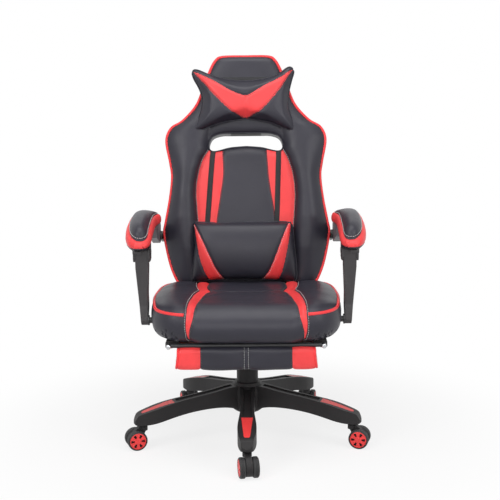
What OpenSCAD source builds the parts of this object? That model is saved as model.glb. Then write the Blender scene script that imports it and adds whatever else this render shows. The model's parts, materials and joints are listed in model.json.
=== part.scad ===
// High-backed swivel chair: five-star base on twin-wheel casters, gas lift, tilt
// mechanism, winged backrest that reclines on two side pivots, arms carried by a
// parallelogram linkage, two loose pillows and a footrest that draws out and flips.
// Millimetres. The column axis is the Z axis, the floor is z = 0, the sitter faces -Y.

/* [Base] */
// Radius from the column axis to the tip of a leg
base_r = 361; // [352:1:364]
// Radius of the circle that the caster stems stand on
stem_r = 333; // [325:1:336]
// Diameter of the caster wheels
wheel_d = 60; // [58:1:60]
// Distance from a caster's stem axis to its axle
caster_trail = 23; // [20:1:25]

/* [Gas lift] */
// Travel of the seat above its lowest height
lift_travel = 80; // [40:5:80]
// Radius of the fixed pressure tube
tube_r = 25; // [24.5:0.5:25]
// Radius of the moving column
column_r = 14; // [13:0.5:14]

/* [Seat] */
// Widest width of the seat cushion
seat_w = 570; // [560:2:570]
// Height of the underside of the seat cushion
seat_z = 370; // [370:1:372]
// Height from the underside to the welt at the cushion's edge
seat_h = 77; // [72:1:80]
// Rise of the seat's crown above the welt
seat_crown = 21; // [10:1:24]

/* [Backrest] */
// Lean of the backrest at rest, from the vertical, in degrees
rake = 10; // [8:1:12]
// Length of the backrest from its pivot line to its top edge
back_len = 789; // [780:1:800]
// Thickness of the backrest's middle panel
back_t = 80; // [76:1:84]
// How far the side bolsters stand in front of the middle panel
bolster_t = 34; // [20:1:36]

/* [Arms] */
// Distance from the middle of the chair to the outer side of an arm pad
arm_x = 359; // [357:1:365]
// Height of the top of the arm pad
arm_z = 713; // [705:1:716]

/* [Footrest] */
// Width of the footrest pad
rest_w = 400; // [380:2:404]
// Length of the footrest pad, measured along the rails
rest_l = 150; // [120:2:150]
// Distance from the middle of the chair to a footrest rail
rail_x = 221; // [221:1:222]

/* [Hidden] */

$fn = 64;
run_gap = 0.05;     // radial clearance of a pin that turns or slides in its bore
soft_gap = 0.4;     // clearance between foam and the steel inside it

// Colours
black_pu = [0.17, 0.17, 0.18];
red_pu = [0.86, 0.09, 0.12];
plastic = [0.13, 0.13, 0.14];
red_plastic = [0.85, 0.10, 0.12];
grey_plastic = [0.42, 0.42, 0.44];
steel = [0.16, 0.16, 0.17];
chrome = [0.82, 0.83, 0.85];

// Legs and casters: azimuth of each leg, and the way each caster trails at rest
leg_count = 5;
leg_az = [for (k = [0 : leg_count - 1]) 270 + k * 360 / leg_count];
trail_az = [280, 344, 80, 105, 200];
insert_r0 = 238;    // inner and outer end of the coloured insert in a leg
insert_r1 = 337;
insert_t = 3;       // thickness of that insert
stem_d = 11;
stem_top = 103;     // top of the stem, inside the leg
leg_foot = 75;      // underside of the leg round the stem

// Pivots of the backrest and the arm linkage, as [y, z]
hinge = [220, 400];
arm_back = [232, 603];
arm_front = [-122, 606];
strut_foot = arm_front - (arm_back - hinge);
pivot_pin = 7;      // radius of the recliner pins
link_pin = 5;       // radius of the linkage pins
tilt_axis = [-60, 345];
lever_pivot = [-66, 300];   // of the height lever, as [x, z]
lever_pin = 2.5;

// Backrest, in its own frame: x across, n through the thickness, s up the back
front_n = -25;
rear_n = front_n + back_t;
cover_n = rear_n - 14;  // where the rear cover panel closes the foam
tube_n = cover_n - 12;  // middle of the steel frame, in its channel in the foam
frame_r = 11;

// Gas lift levels at its lowest setting
hub_top = 178;
column_top = 340;
housing_z0 = 292;
cover_t = 1.5;      // wall of the telescopic covers

// Footrest
rail_r = 7;
rail_z = 353;
bar_y = -245;       // cross bar that the pad turns on
rail_front = -262;
rail_back = 185;
rest_t = 77;        // thickness of the pad

// ---------- helpers ----------

function flat(v) = [for (a = v) for (b = a) b];

// One span of a Catmull-Rom curve, at t from 0 to 1
function curve_at(a, b, c, d, t) =
    0.5 * (2 * b + (c - a) * t + (2 * a - 5 * b + 4 * c - d) * t * t
    + (3 * b - a - 3 * c + d) * t * t * t);

// Smooth open curve through the points, with n steps between neighbours
function smooth(p, n) = concat(
    flat([for (i = [0 : len(p) - 2]) [for (j = [0 : n - 1])
        curve_at(p[max(i - 1, 0)], p[i], p[i + 1], p[min(i + 2, len(p) - 1)], j / n)]]),
    [p[len(p) - 1]]);

// A right-hand half outline and its mirror image, as one closed outline
function both(half) = concat(half, [for (i = [len(half) - 1 : -1 : 0]) if (half[i][0] > 0.01)
    [-half[i][0], half[i][1]]]);

function arc(c, r, a0, a1, n) =
    [for (i = [0 : n]) c + r * [cos(a0 + (a1 - a0) * i / n), sin(a0 + (a1 - a0) * i / n)]];

// Outline of a bar with two round ends of different radii
function link(p, rp, q, rq) =
    let (d = q - p, a = atan2(d[1], d[0]), b = acos((rp - rq) / norm(d)))
    concat(arc(p, rp, a + b, a + 360 - b, 14), arc(q, rq, a - b, a + b, 14));

// Outline from y0 to y1 and z0 to z1 with round corners
function round_box(y0, y1, z0, z1, r) = concat(
    arc([y1 - r, z1 - r], r, 0, 90, 5), arc([y0 + r, z1 - r], r, 90, 180, 5),
    arc([y0 + r, z0 + r], r, 180, 270, 5), arc([y1 - r, z0 + r], r, 270, 360, 5));

// A [y, z] outline given thickness from x0 to x1
module side(x0, x1) {
    translate([x0, 0, 0]) rotate([90, 0, 90]) linear_extrude(x1 - x0) children();
}

// An [x, z] outline given thickness from y0 to y1
module front(y0, y1) {
    translate([0, y1, 0]) rotate([90, 0, 0]) linear_extrude(y1 - y0) children();
}

module both_sides() {
    children();
    mirror([1, 0, 0]) children();
}

// A pin along X through the point [y, z]
module pin_x(p, r, x0, x1) {
    translate([x0, p[0], p[1]]) rotate([0, 90, 0]) cylinder(r = r, h = x1 - x0);
}

module rod(p, q, r) {
    d = q - p;
    translate(p)
        rotate([0, acos(d[2] / norm(d)), atan2(d[1], d[0])])
            cylinder(r = r, h = norm(d), $fn = 32);
}

module in_back() {
    translate([0, hinge[0], hinge[1]]) rotate([-rake, 0, 0]) children();
}

module ring(r1, r0, z0, z1) {
    translate([0, 0, z0]) difference() {
        cylinder(r = r1, h = z1 - z0);
        translate([0, 0, -1]) cylinder(r = r0, h = z1 - z0 + 2);
    }
}

// ---------- base ----------

// Half width of a leg along its length, drawn in by "inset"
function leg_plan(inset) = both([for (p = smooth(
    [[26, 20], [22, 90], [20.5, 190], [27, 275], [26, 312], [19.5, 345], [13, 358], [0, base_r]], 6))
    [max(p[0] - inset, 0), p[1] - (p[1] > 330 ? inset : 0)]]);

leg_top = smooth([[20, 169], [60, 167], [120, 155], [245, 135], [325, 114], [346, 107], [353, 100],
    [base_r, 83]], 5);
leg_bottom = smooth([[base_r, 78], [352, leg_foot], [322, leg_foot + 0.5], [290, 80], [240, 91],
    [180, 101], [120, 106], [70, 104], [20, 92]], 5);

// A leg's body, lying along +X
module leg_body() {
    intersection() {
        rotate([0, 0, -90]) linear_extrude(200) polygon(leg_plan(0));
        front(-40, 40) polygon(concat(leg_top, leg_bottom));
    }
}

// The hollow under a leg, between its walls, with a spine and cross ribs left standing
module leg_hollow() {
    wall = 3.5;
    roof = 7;
    difference() {
        intersection() {
            rotate([0, 0, -90]) linear_extrude(200) polygon(leg_plan(wall));
            front(-40, 40) polygon(concat(
                [for (p = leg_top) if (p[0] < 312) [p[0], p[1] - roof]], [[312, 60], [48, 60]]));
            translate([48, -40, 0]) cube([264, 80, 200]);
        }
        translate([40, -1.5, 0]) cube([280, 3, 200]);
        for (x = [90 : 52 : 300]) translate([x, -40, 0]) cube([3, 80, 200]);
    }
}

// Outline of a leg's insert: wide end towards the hub
function insert_plan(grow) = [
    [insert_r0 - grow, -17 - grow], [insert_r1 - 6, -9 - grow], [insert_r1 + grow, -6],
    [insert_r1 + grow, 6], [insert_r1 - 6, 9 + grow], [insert_r0 - grow, 17 + grow]];

// A layer of a leg's top surface, "down" below it and "t" thick
module top_layer(down, t) {
    front(-40, 40) polygon(concat(
        [for (p = leg_top) [p[0], p[1] - down]],
        [for (i = [len(leg_top) - 1 : -1 : 0]) [leg_top[i][0], leg_top[i][1] - down - t]]));
}

// Shallow channel along the top of a leg, from the hub to the insert
module leg_channel() {
    intersection() {
        top_layer(-5, 9);
        linear_extrude(200) polygon([[52, -10], [insert_r0 - 8, -14], [insert_r0 - 8, 14], [52, 10]]);
    }
}

module insert_pocket() {
    intersection() {
        top_layer(-5, 5 + insert_t);
        linear_extrude(200) polygon(insert_plan(0.4));
    }
}

module star_base() {
    color(plastic) difference() {
        union() {
            rotate_extrude() polygon([[0, 86], [38, 86], [46, 92], [48, 150], [44, 168],
                [40, hub_top], [0, hub_top]]);
            for (a = leg_az) rotate([0, 0, a]) leg_body();
        }
        cylinder(r = tube_r, h = 200);
        for (a = leg_az) rotate([0, 0, a]) {
            leg_hollow();
            leg_channel();
            insert_pocket();
            translate([stem_r, 0, 60]) cylinder(r = stem_d / 2 + run_gap, h = stem_top + 1 - 60);
        }
    }
}

module leg_inserts() {
    color(red_plastic) for (a = leg_az) rotate([0, 0, a]) intersection() {
        top_layer(0, insert_t);
        linear_extrude(200) polygon(insert_plan(0));
    }
}

// ---------- gas lift ----------

module lift_outer_tube() {
    color(steel) difference() {
        rotate_extrude() polygon([[0, 88], [22, 88], [tube_r, 96], [tube_r, 288],
            [23, 290], [0, 290]]);
        translate([0, 0, 93]) cylinder(r = column_r + run_gap, h = 200);
    }
}

// Telescopic covers, each with a small turned-in rim at the top
module cover(r, z0, z1) {
    ring(r, r - cover_t, z0, z1 - 3);
    translate([0, 0, z1 - 3]) rotate_extrude()
        polygon([[r - cover_t, 0], [r, 0], [r - 0.4, 2.4], [r - cover_t, 3]]);
}

module cover_lower() {
    color(plastic) cover(33, hub_top, 255);
}

module cover_middle() {
    color(plastic) cover(31, 190, 275);
}

module cover_upper() {
    color(plastic) cover(29, 205, housing_z0);
}

// Piston rod, with its thrust bearing at the foot of the pressure tube
module lift_piston_rod() {
    color(chrome) {
        translate([0, 0, 93]) cylinder(r = 12, h = 4);
        translate([0, 0, 97]) cylinder(r = 5, h = 193);
    }
}

module lift_inner_column() {
    color(chrome) difference() {
        rotate_extrude() polygon([[0, 105], [column_r, 105], [column_r, column_top - 2],
            [column_r - 2, column_top], [0, column_top]]);
        translate([0, 0, 100]) cylinder(r = 5 + run_gap, h = 195);
        translate([0, 0, 100]) cylinder(r = 9, h = 12);
    }
}

// ---------- mechanism ----------

module mechanism_housing() {
    outline = [[-84, 306], [-78, housing_z0 + 6], [-62, housing_z0], [74, housing_z0],
        [104, 304], [108, 318], [100, 329], [20, 343], [-20, 352], [-78, 354], [-84, 348]];
    color(steel) difference() {
        union() {
            side(-75, 75) polygon(outline);
            translate([0, 0, housing_z0 - 0.01]) cylinder(r = 22, h = 10);
        }
        // open pan round the column socket and in front of it
        difference() {
            translate([-70, -40, 304]) cube([140, 132, 60]);
            cylinder(r = 24, h = 400);
            translate([-71, -3, 0]) cube([142, 6, 338]);
        }
        translate([0, 0, 280]) cylinder(r = column_r, h = column_top - 280);
        pin_x(tilt_axis, link_pin + run_gap, -90, 90);
        // screw of the tension knob
        translate([0, -62, 280]) cylinder(r = 6 + run_gap, h = 30);
        // slot and pivot bore of the height lever
        translate([-80, 22, lever_pivot[1] - 6]) cube([24, 16, 18]);
        translate([lever_pivot[0], 0, lever_pivot[1]]) rotate([-90, 0, 0])
            cylinder(r = lever_pin + run_gap, h = 44);
    }
}

// Lever that opens the gas valve, with a flat grip at its end
module height_lever() {
    color(steel) {
        translate([-57, 30, 302]) rotate([0, -90, 0]) cylinder(r = 4, h = 135);
        // barrel in the housing's slot, and the pin that it turns on
        translate([lever_pivot[0], 22.3, lever_pivot[1]]) rotate([-90, 0, 0]) cylinder(r = 5.2, h = 15.4);
        translate([lever_pivot[0], 17, lever_pivot[1]]) rotate([-90, 0, 0]) cylinder(r = lever_pin, h = 26);
    }
    color(plastic) intersection() {
        translate([0, 0, 302 - 5.5]) linear_extrude(11) polygon(concat(
            arc([-222, 22], 13, 180, 270, 6), arc([-196, 17], 8, 270, 360, 4),
            arc([-196, 35], 8, 0, 90, 4), arc([-222, 38], 13, 90, 180, 6)));
        front(0, 60) polygon([[-240, 298.5], [-180, 296.5], [-180, 307.5], [-240, 305.5]]);
        difference() {
            translate([-245, 0, 290]) cube([70, 60, 25]);
            translate([-192, 30, 302]) rotate([0, 90, 0]) cylinder(r = 4, h = 30);
        }
    }
}

// Tension knob: grooved rim and a screw into the housing
module tension_knob() {
    color(plastic) translate([0, -62, 0]) {
        difference() {
            rotate_extrude() polygon([[0, 248], [19, 248], [22, 252], [22, 280], [19, 286],
                [10, 288], [0, 288]]);
            for (a = [0 : 30 : 359]) rotate([0, 0, a]) translate([24, 0, 240])
                cylinder(r = 3.2, h = 60, $fn = 24);
        }
        translate([0, 0, 288]) cylinder(r = 6, h = 18);
    }
}

// Plate under the seat, with two ears and the tilt pin
module tilt_plate() {
    color(steel) {
        difference() {
            translate([-105, -135, 360]) cube([210, 270, 5]);
            for (x = [-50, 50]) translate([x - 15, -20, 350]) cube([30, 110, 20]);
            for (x = [-90, 90], y = [-120, 120]) translate([x, y, 350]) cylinder(r = 4, h = 20);
        }
        both_sides() side(77, 82) polygon(concat(
            arc([tilt_axis[0], tilt_axis[1]], 12, 180, 360, 12),
            [[-20, 360], [-100, 360]]));
        pin_x(tilt_axis, link_pin, -86, 86);
        both_sides() pin_x(tilt_axis, 8, 82, 86);
    }
}

// ---------- seat ----------

// Square tubes of the seat frame, with a block on each side for the strut's stub
module seat_tubes(g) {
    both_sides() translate([190 - g, strut_foot[0] - 20 - g, 370])
        cube([20 + 2 * g, 40 + 2 * g, strut_foot[1] + 11 + g - 370]);
    for (x = [-210, 190]) translate([x - g, -190 - g, 370 - g]) cube([20 + 2 * g, 380 + 2 * g, 18 + 2 * g]);
    for (y = [-190, 170]) translate([-190, y - g, 370 - g]) cube([380, 20 + 2 * g, 18 + 2 * g]);
}

module seat_frame() {
    color(steel) difference() {
        union() {
            seat_tubes(0);
            for (y = [-135, 105]) translate([-190, y, 365]) cube([380, 30, 5]);
            for (y = [-135, 105], x = [-190, 160]) translate([x, y, 370]) cube([30, 30, 4]);
            for (y = [-135, 105]) both_sides() translate([160, y, 365]) cube([50, 30, 5]);
        }
        for (x = [-90, 90], y = [-120, 120]) translate([x, y, 350]) cylinder(r = 4, h = 30);
    }
}

// Plan of the cushion, drawn in by "inset"
function seat_plan(inset) = both([for (p = smooth(
    [[0, -277], [110, -276], [205, -262], [256, -218], [seat_w / 2, -105], [278, -20],
    [258, 80], [236, 180], [220, 195], [0, 197]], 5))
    [p[0] * (1 - inset / (seat_w / 2)), p[1] * (1 - inset / 236) - inset * 0.17]]);

module seat_slice(z, inset) {
    translate([0, 0, z]) linear_extrude(0.01) polygon(seat_plan(inset));
}

module seat_cushion() {
    color(black_pu) difference() {
        hull() {
            seat_slice(seat_z, 34);
            seat_slice(seat_z + 7, 16);
            seat_slice(seat_z + 24, 3);
            seat_slice(seat_z + 44, 0);
            seat_slice(seat_z + seat_h, 4);
            seat_slice(seat_z + seat_h + 0.6 * seat_crown, 40);
            seat_slice(seat_z + seat_h + seat_crown, 110);
        }
        seat_tubes(soft_gap);
        for (y = [-135, 105]) translate([-211, y - 1, 360]) cube([422, 32, 14.5]);
        both_sides() pin_x(strut_foot, 9 + soft_gap, 205, 300);
        both_sides() side(209, 216.5) polygon(link([150, 381], 12.5, [178, 384], 12.5));
        both_sides() side(209, 216.5) polygon(link([175, 384], 13, hinge, 27));
    }
}

// Recliner plates on the seat, with the pins that carry the backrest
module recliner_seat_plates() {
    color(steel) both_sides() {
        side(210.6, 215.6) polygon(link([150, 381], 10, [178, 384], 12));
        side(210.6, 215.6) polygon(link([178, 384], 12, hinge, 25));
        pin_x(hinge, pivot_pin, 215, 226);
        pin_x(hinge, 11, 221.3, 226);
    }
    color(steel) pin_x(hinge, pivot_pin, -240, -226);
}

module recliner_back_plates() {
    color(steel) both_sides() difference() {
        union() {
            side(216, 221) polygon(link(hinge, 25, hinge + [22, 46], 14));
            in_back() side(216, 221) polygon(link([13.7, 49], 14, [tube_n, 130], 10));
        }
        pin_x(hinge, pivot_pin + run_gap, 200, 240);
    }
}

// Cranked release lever on the sitter's right, with a moulded grip
module recline_lever() {
    knee = [209, 359];
    tip = [104, 343];
    color(steel) difference() {
        union() {
            side(-236, -231) polygon(link(hinge, 14, knee, 8));
            side(-236, -231) polygon(link(knee, 8, tip, 7));
        }
        pin_x(hinge, pivot_pin + run_gap, -245, -220);
    }
    color(plastic) side(-245, -236) polygon(link([150, 350], 9, [96, 342], 11));
}

// ---------- footrest ----------

module footrest_bracket(y0, y1) {
    difference() {
        union() {
            front(y0, y1) polygon([[rail_x - 11, rail_z - 8], [rail_x - 9, rail_z - 11],
                [rail_x + 8, rail_z - 11], [rail_x + 11, rail_z - 8], [rail_x + 11, 358], [rail_x + 8, 361],
                [rail_x - 30, 361], [rail_x - 26, 356], [rail_x - 11, 356]]);
            translate([190, y0, 361]) cube([rail_x + 8 - 190, y1 - y0, 4]);
            translate([190, y0, 361]) cube([20, y1 - y0, 9]);
        }
        translate([rail_x, y0 - 1, rail_z]) rotate([-90, 0, 0]) cylinder(r = rail_r + run_gap, h = y1 - y0 + 2);
    }
}

module footrest_brackets() {
    color(plastic) both_sides() {
        footrest_bracket(-232, -192);
        footrest_bracket(-104, -80);
    }
}

module footrest_frame() {
    color(chrome) {
        // round bars with rounded front ends
        both_sides() translate([rail_x, rail_front, rail_z]) rotate([-90, 0, 0])
            rotate_extrude() polygon(concat([[0, -4]], arc([rail_r - 4, 0], 4, 270, 360, 6),
                [[rail_r, rail_back - rail_front], [0, rail_back - rail_front]]));
        rod([-rail_x, bar_y, rail_z], [rail_x, bar_y, rail_z], rail_r - 0.5);
    }
}

module footrest_pad() {
    top = rail_z + 1;
    y0 = rail_front - 2;
    color(black_pu) difference() {
        side(-rest_w / 2, rest_w / 2)
            polygon(round_box(y0, y0 + rest_l, top - rest_t, top, 14));
        // groove that the pad's hinge straps keep on the cross bar
        side(-300, 300) polygon(concat(arc([bar_y, rail_z], rail_r + 0.3, 180, 360, 24),
            [[bar_y + rail_r + 0.3, top + 5], [bar_y - rail_r - 0.3, top + 5]]));
    }
}

// ---------- backrest ----------

// Half outline of the backrest, drawn in by "inset"
back_half = smooth([[0, 50], [120, 50], [207, 50], [233, 58], [245, 80], [258, 124], [273, 205],
    [268, 245], [254, 320], [246, 392], [252, 440], [264, 512], [247, 555], [208, 580], [165, 628],
    [141, 685], [118, 745], [99, 777], [75, back_len], [0, back_len + 1]], 5);
function back_outline(inset) = both([for (p = back_half)
    [p[0] * (1 - inset / 260), 420 + (p[1] - 420) * (1 - inset / 369)]]);

// Opening under the headrest, larger by "grow": arched top, sill that rises in the middle
function window_outline(grow) = both([for (p = smooth([[0, 535], [50, 535], [86, 534], [112, 524],
    [121, 504], [120, 486], [107, 479], [60, 488], [0, 493]], 5))
    [p[0] * (121 + grow) / 121, 510 + (p[1] - 510) * (25 + grow) / 25]]);

// Middle line of the frame's right-hand tube, from its foot to the headrest, as [x, s]
frame_path = [[205, 70], [205, 180], [230, 500], [112, 640], [84, 752]];
cross_tubes = [[[205, 70], [-205, 70]], [[225, 440], [-225, 440]], [[84, 752], [-84, 752]]];
arm_stub = [[205, 200], [276, 200]];
stub_r = 9;

module back_tube(ends, r) {
    rod([ends[0][0], tube_n, ends[0][1]], [ends[1][0], tube_n, ends[1][1]], r);
}

// Steel tubes inside the foam
module back_frame() {
    color(steel) in_back() {
        both_sides() {
            for (i = [0 : len(frame_path) - 2]) back_tube([frame_path[i], frame_path[i + 1]], frame_r);
            // welded knuckles, a little fuller than the tube
            for (p = frame_path) translate([p[0], tube_n, p[1]]) sphere(r = frame_r + 0.25, $fn = 32);
            back_tube(arm_stub, stub_r);
        }
        for (c = cross_tubes) back_tube(c, frame_r - 1);
    }
}

// Channel moulded in the back of the foam for the tubes and the recliner plates
module frame_channel() {
    r = frame_r + soft_gap;
    reach = 1.37 * r;       // half width across a tube that slants inwards
    top = len(frame_path) - 1;
    front(tube_n - r, rear_n + 10) {
        for (side = [-1, 1]) polygon([for (p = concat(
            [for (i = [0 : top]) frame_path[i] + [reach, i == 0 ? -r : i == top ? r : 0]],
            [for (i = [top : -1 : 0]) frame_path[i] + [-reach, i == 0 ? -r : i == top ? r : 0]]))
            [side * p[0], p[1]]]);
        for (c = cross_tubes) translate([-c[0][0], c[0][1] - r]) square([2 * c[0][0], 2 * r]);
    }
    both_sides() {
        translate([205, tube_n - stub_r - soft_gap, arm_stub[0][1] - stub_r - soft_gap])
            cube([80, 60, 2 * (stub_r + soft_gap)]);
        translate([215.6, tube_n - 32, 30]) cube([5.8, 60, tube_n + 112]);
    }
}

module back_cushion() {
    bolster_side = concat([[front_n + 6, 84]],
        smooth([[front_n, 84], [front_n - 0.75 * bolster_t, 150], [front_n - bolster_t, 260],
        [front_n - 0.9 * bolster_t, 420], [front_n - 0.6 * bolster_t, 500], [front_n, 560]], 5),
        [[front_n + 6, 560]]);
    color(black_pu) in_back() {
        difference() {
            union() {
                front(front_n, cover_n) polygon(back_outline(0));
                intersection() {
                    front(front_n - 60, front_n + 6) polygon(back_outline(12));
                    side(-300, 300) polygon(bolster_side);
                    both_sides() front(-100, 0) polygon(concat([[320, 40], [200, 40]],
                        smooth([[184, 90], [160, 300], [166, 430], [190, 520], [225, 570]], 4),
                        [[320, 570]]));
                }
            }
            front(-100, 100) polygon(window_outline(3.4));
            frame_channel();
        }
        // rear cover panel over the channel
        difference() {
            front(cover_n + 0.2, rear_n) polygon(back_outline(9));
            front(-100, 100) polygon(window_outline(3.4));
        }
    }
}

// Lining of the opening, with a thin lip in front; it stops at the sill
module window_trim() {
    color(plastic) in_back() intersection() {
        difference() {
            union() {
                front(front_n - 0.3, rear_n + 0.3) polygon(window_outline(3));
                front(front_n - 2, front_n - 0.3) polygon(window_outline(8));
            }
            front(-100, 100) polygon(window_outline(0));
            translate([-104, -100, 470]) cube([208, 300, 32]);
        }
        translate([-200, -100, 487]) cube([400, 300, 80]);
    }
}

// Plates on the frame's stubs, with the studs that the arms turn on
module arm_brackets() {
    b = arm_back - hinge;
    stud = [b[0] * cos(rake) - b[1] * sin(rake), b[0] * sin(rake) + b[1] * cos(rake)];
    color(steel) in_back() both_sides() {
        side(276, 281) polygon(link([tube_n, 200], 17, stud, 15));
        pin_x(stud, link_pin, 281, 306.5);
        pin_x(stud, 8.5, 306.5, 310);
    }
}

// Two elastic straps, from behind the pillow up over the sill of the opening and
// down the back; both lean the same way
module lumbar_straps() {
    strap_w = 16.5;
    half = strap_w / 2;
    sill = 484;
    color(plastic) in_back() for (x = [[-122, -107], [96, 108]]) {
        front(front_n - 1.9, front_n - 0.4) polygon([[x[0] - half, 245], [x[0] + half, 245],
            [x[1] + half, sill], [x[1] - half, sill]]);
        translate([x[1] - half, front_n - 1.9, sill]) cube([strap_w, back_t + 3.8, 1.5]);
        translate([x[1] - half, rear_n + 0.4, 330]) cube([strap_w, 1.5, sill - 330]);
    }
}

module lumbar_pillow() {
    rear = front_n - 3;
    color(black_pu) in_back() side(-155, 155) polygon(concat([[rear, 240]],
        smooth([[rear - 8, 250], [rear - 42, 244], [rear - 70, 196], [rear - 74, 150],
        [rear - 66, 100], [rear - 38, 62], [rear - 8, 57]], 5), [[rear, 66]]));
}

module head_pillow() {
    rear = front_n - 3;
    plan = both(concat([[0, 568]], smooth([[60, 560], [135, 541], [163, 538], [171, 548], [150, 610],
        [150, 660], [173, 735], [168, 746], [150, 742], [80, 722], [0, 712]], 4)));
    color(black_pu) in_back() intersection() {
        front(rear - 60, rear) polygon(plan);
        side(-200, 200) polygon(concat([[rear, 536]],
            smooth([[rear - 14, 536], [rear - 44, 580], [rear - 52, 640], [rear - 40, 700],
            [rear - 12, 748]], 5), [[rear, 748]]));
    }
}

module head_strap() {
    color(plastic) in_back() difference() {
        translate([-144, front_n - 2.4, 690]) cube([288, back_t + 4.8, 25]);
        translate([-142.5, front_n - 0.9, 680]) cube([285, back_t + 1.8, 45]);
    }
}

// ---------- arms ----------

// Underside and top of the arm pad as seen from the side
pad_under = smooth([[146, 662], [100, 654], [20, 655], [-60, 649], [-120, 634], [-158, 612]], 5);
pad_top = smooth([[-182, 612], [-194, 632], [-180, 666], [-140, 692], [-80, 707], [0, arm_z],
    [80, 708], [130, 694], [150, 676], [146, 662]], 5);

// Plan of the pad on the +X side, as [x, y]
pad_plan = concat(
    smooth([[arm_x - 7, 140], [arm_x - 1, 90], [arm_x - 1, -100], [arm_x - 9, -150], [arm_x - 27, -185],
    [arm_x - 49, -196], [arm_x - 69, -186], [arm_x - 79, -155], [arm_x - 79, -95], [arm_x - 79, 20],
    [arm_x - 80, 90], [arm_x - 88, 126], [arm_x - 85, 148], [arm_x - 50, 154]], 5));

module arm_pad() {
    color(black_pu) intersection() {
        side(240, 380) polygon(concat(pad_under, pad_top));
        linear_extrude(800) polygon(pad_plan);
    }
}

// Arm carrier: shaped tray under the pad, rear lug on the backrest's stud and a
// clevis over the head of the strut, with the bolt that the strut hangs on
fork_x = [280, 285.5, 323.5, 329];  // faces of the clevis's two cheeks
head_r = 22.5;                      // radius of the strut's head
head_foot = 579;                    // lower edge of the strut's head at rest
foot_r = 14;                        // radius of the strut's foot
module arm_frame() {
    tray_t = 9;
    tray_mid = 316;
    cheek = concat(arc(arm_front, 23.5, 12, 168, 12),
        [arm_front + [-24, -18], arm_front + [-17, -28], arm_front + [17, -28], arm_front + [24, -18]]);
    difference() {
        union() {
            color(plastic) intersection() {
                side(268, 360) polygon(concat(
                    [for (p = pad_under) p],
                    [for (i = [len(pad_under) - 1 : -1 : 0]) pad_under[i] - [0, tray_t]]));
                linear_extrude(800) polygon([for (p = pad_plan)
                    [tray_mid + (p[0] - tray_mid) * 0.64, p[1] * 0.82]]);
            }
            color(plastic) {
                side(fork_x[0], fork_x[1]) polygon(cheek);
                side(fork_x[2], fork_x[3]) polygon(cheek);
                side(fork_x[0], fork_x[3]) polygon([[-150, 616], [-144, 616], [-138, 609], [-96.3, 609], [-96.3, 582],
                    [-92.3, 582], [-91, 640], [-122, 631]]);
            }
            color(grey_plastic) side(282, 305) polygon([[70, 650], [112, 612], [206, 583], [214, 581],
                [246, 581], [254, 589], [254, 634], [246, 642], [214, 650], [140, 655]]);
        }
        pin_x(arm_back, link_pin + run_gap, 270, 320);
        // the head of the strut turns in here, with room for its front corner
        side(fork_x[1], fork_x[2]) polygon(arc(arm_front, head_r + 1.2, 0, 360, 40));
        side(fork_x[1], fork_x[2]) polygon([[-153, 600], [-143, 600], [-143, 617.5], [-153, 611.5]]);
    }
    color(steel) {
        pin_x(arm_front, link_pin, fork_x[0] - 0.5, fork_x[3] + 0.5);
        pin_x(arm_front, 9, fork_x[0] - 2.6, fork_x[0] + 0.1);
        pin_x(arm_front, 9, fork_x[3] - 0.1, fork_x[3] + 2.6);
    }
}

module arm_frame_left() { arm_frame(); }
module arm_frame_right() { mirror([1, 0, 0]) arm_frame(); }
module arm_pad_left() { arm_pad(); }
module arm_pad_right() { mirror([1, 0, 0]) arm_pad(); }

// Strut from the seat to the arm; the bolt through the arm is loose in its head
module strut() {
    head = concat(arc(arm_front, head_r, 0, 180, 24),
        [[arm_front[0] - head_r + 2, head_foot + 3], [arm_front[0] - head_r + 5, head_foot],
        [arm_front[0] + head_r - 3, head_foot], [arm_front[0] + head_r, head_foot + 3]]);
    color(plastic) difference() {
        intersection() {
            union() {
                side(280, 330) polygon(link(strut_foot, foot_r, strut_foot + [20, 42], 26));
                side(280, 330) polygon(link(strut_foot + [20, 42], 26, arm_front - [0, 12], 20));
                side(fork_x[1] + 0.5, fork_x[2] - 0.5) polygon(head);
            }
            front(-200, 0) polygon([[290, 370], [306, 370], [309, 392], [fork_x[2] - 0.5, 560],
                [fork_x[2] - 0.5, 640], [fork_x[1] + 0.5, 640], [fork_x[1] + 0.5, 560], [290, 480]]);
        }
        pin_x(strut_foot, link_pin + 1 + run_gap, 280, 330);
        pin_x(strut_foot, 10, 304.5, 340);
        pin_x(arm_front, link_pin + 1, 280, 360);
        // recess down the outer side
        side(316, 350) polygon(link(arm_front - [0, 62], 8, arm_front - [4, 104], 9));
    }
}

module strut_left() { strut(); }
module strut_right() { mirror([1, 0, 0]) strut(); }

// Stubs welded to the seat frame; they come out through the side of the cushion and
// carry the foot of each strut
stub_x = 286;
module strut_brackets() {
    color(steel) both_sides() {
        pin_x(strut_foot, 9, 210, stub_x);
        pin_x(strut_foot, 15, stub_x - 0.4, stub_x + 3.4);
        pin_x(strut_foot, link_pin + 1, stub_x + 3, 305);
        pin_x(strut_foot, 9.5, 304.8, 307.5);
    }
}

// ---------- casters ----------

wheel_t = 18;       // width of one wheel
wheel_in = 10;      // distance from the caster's middle plane to a wheel's inner face
axle_r = 3;
cap_r = 25;
cap_t = 3;

module at_caster(k) {
    rotate([0, 0, leg_az[k]]) translate([stem_r, 0, 0]) rotate([0, 0, trail_az[k] - leg_az[k]])
        children();
}

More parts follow.
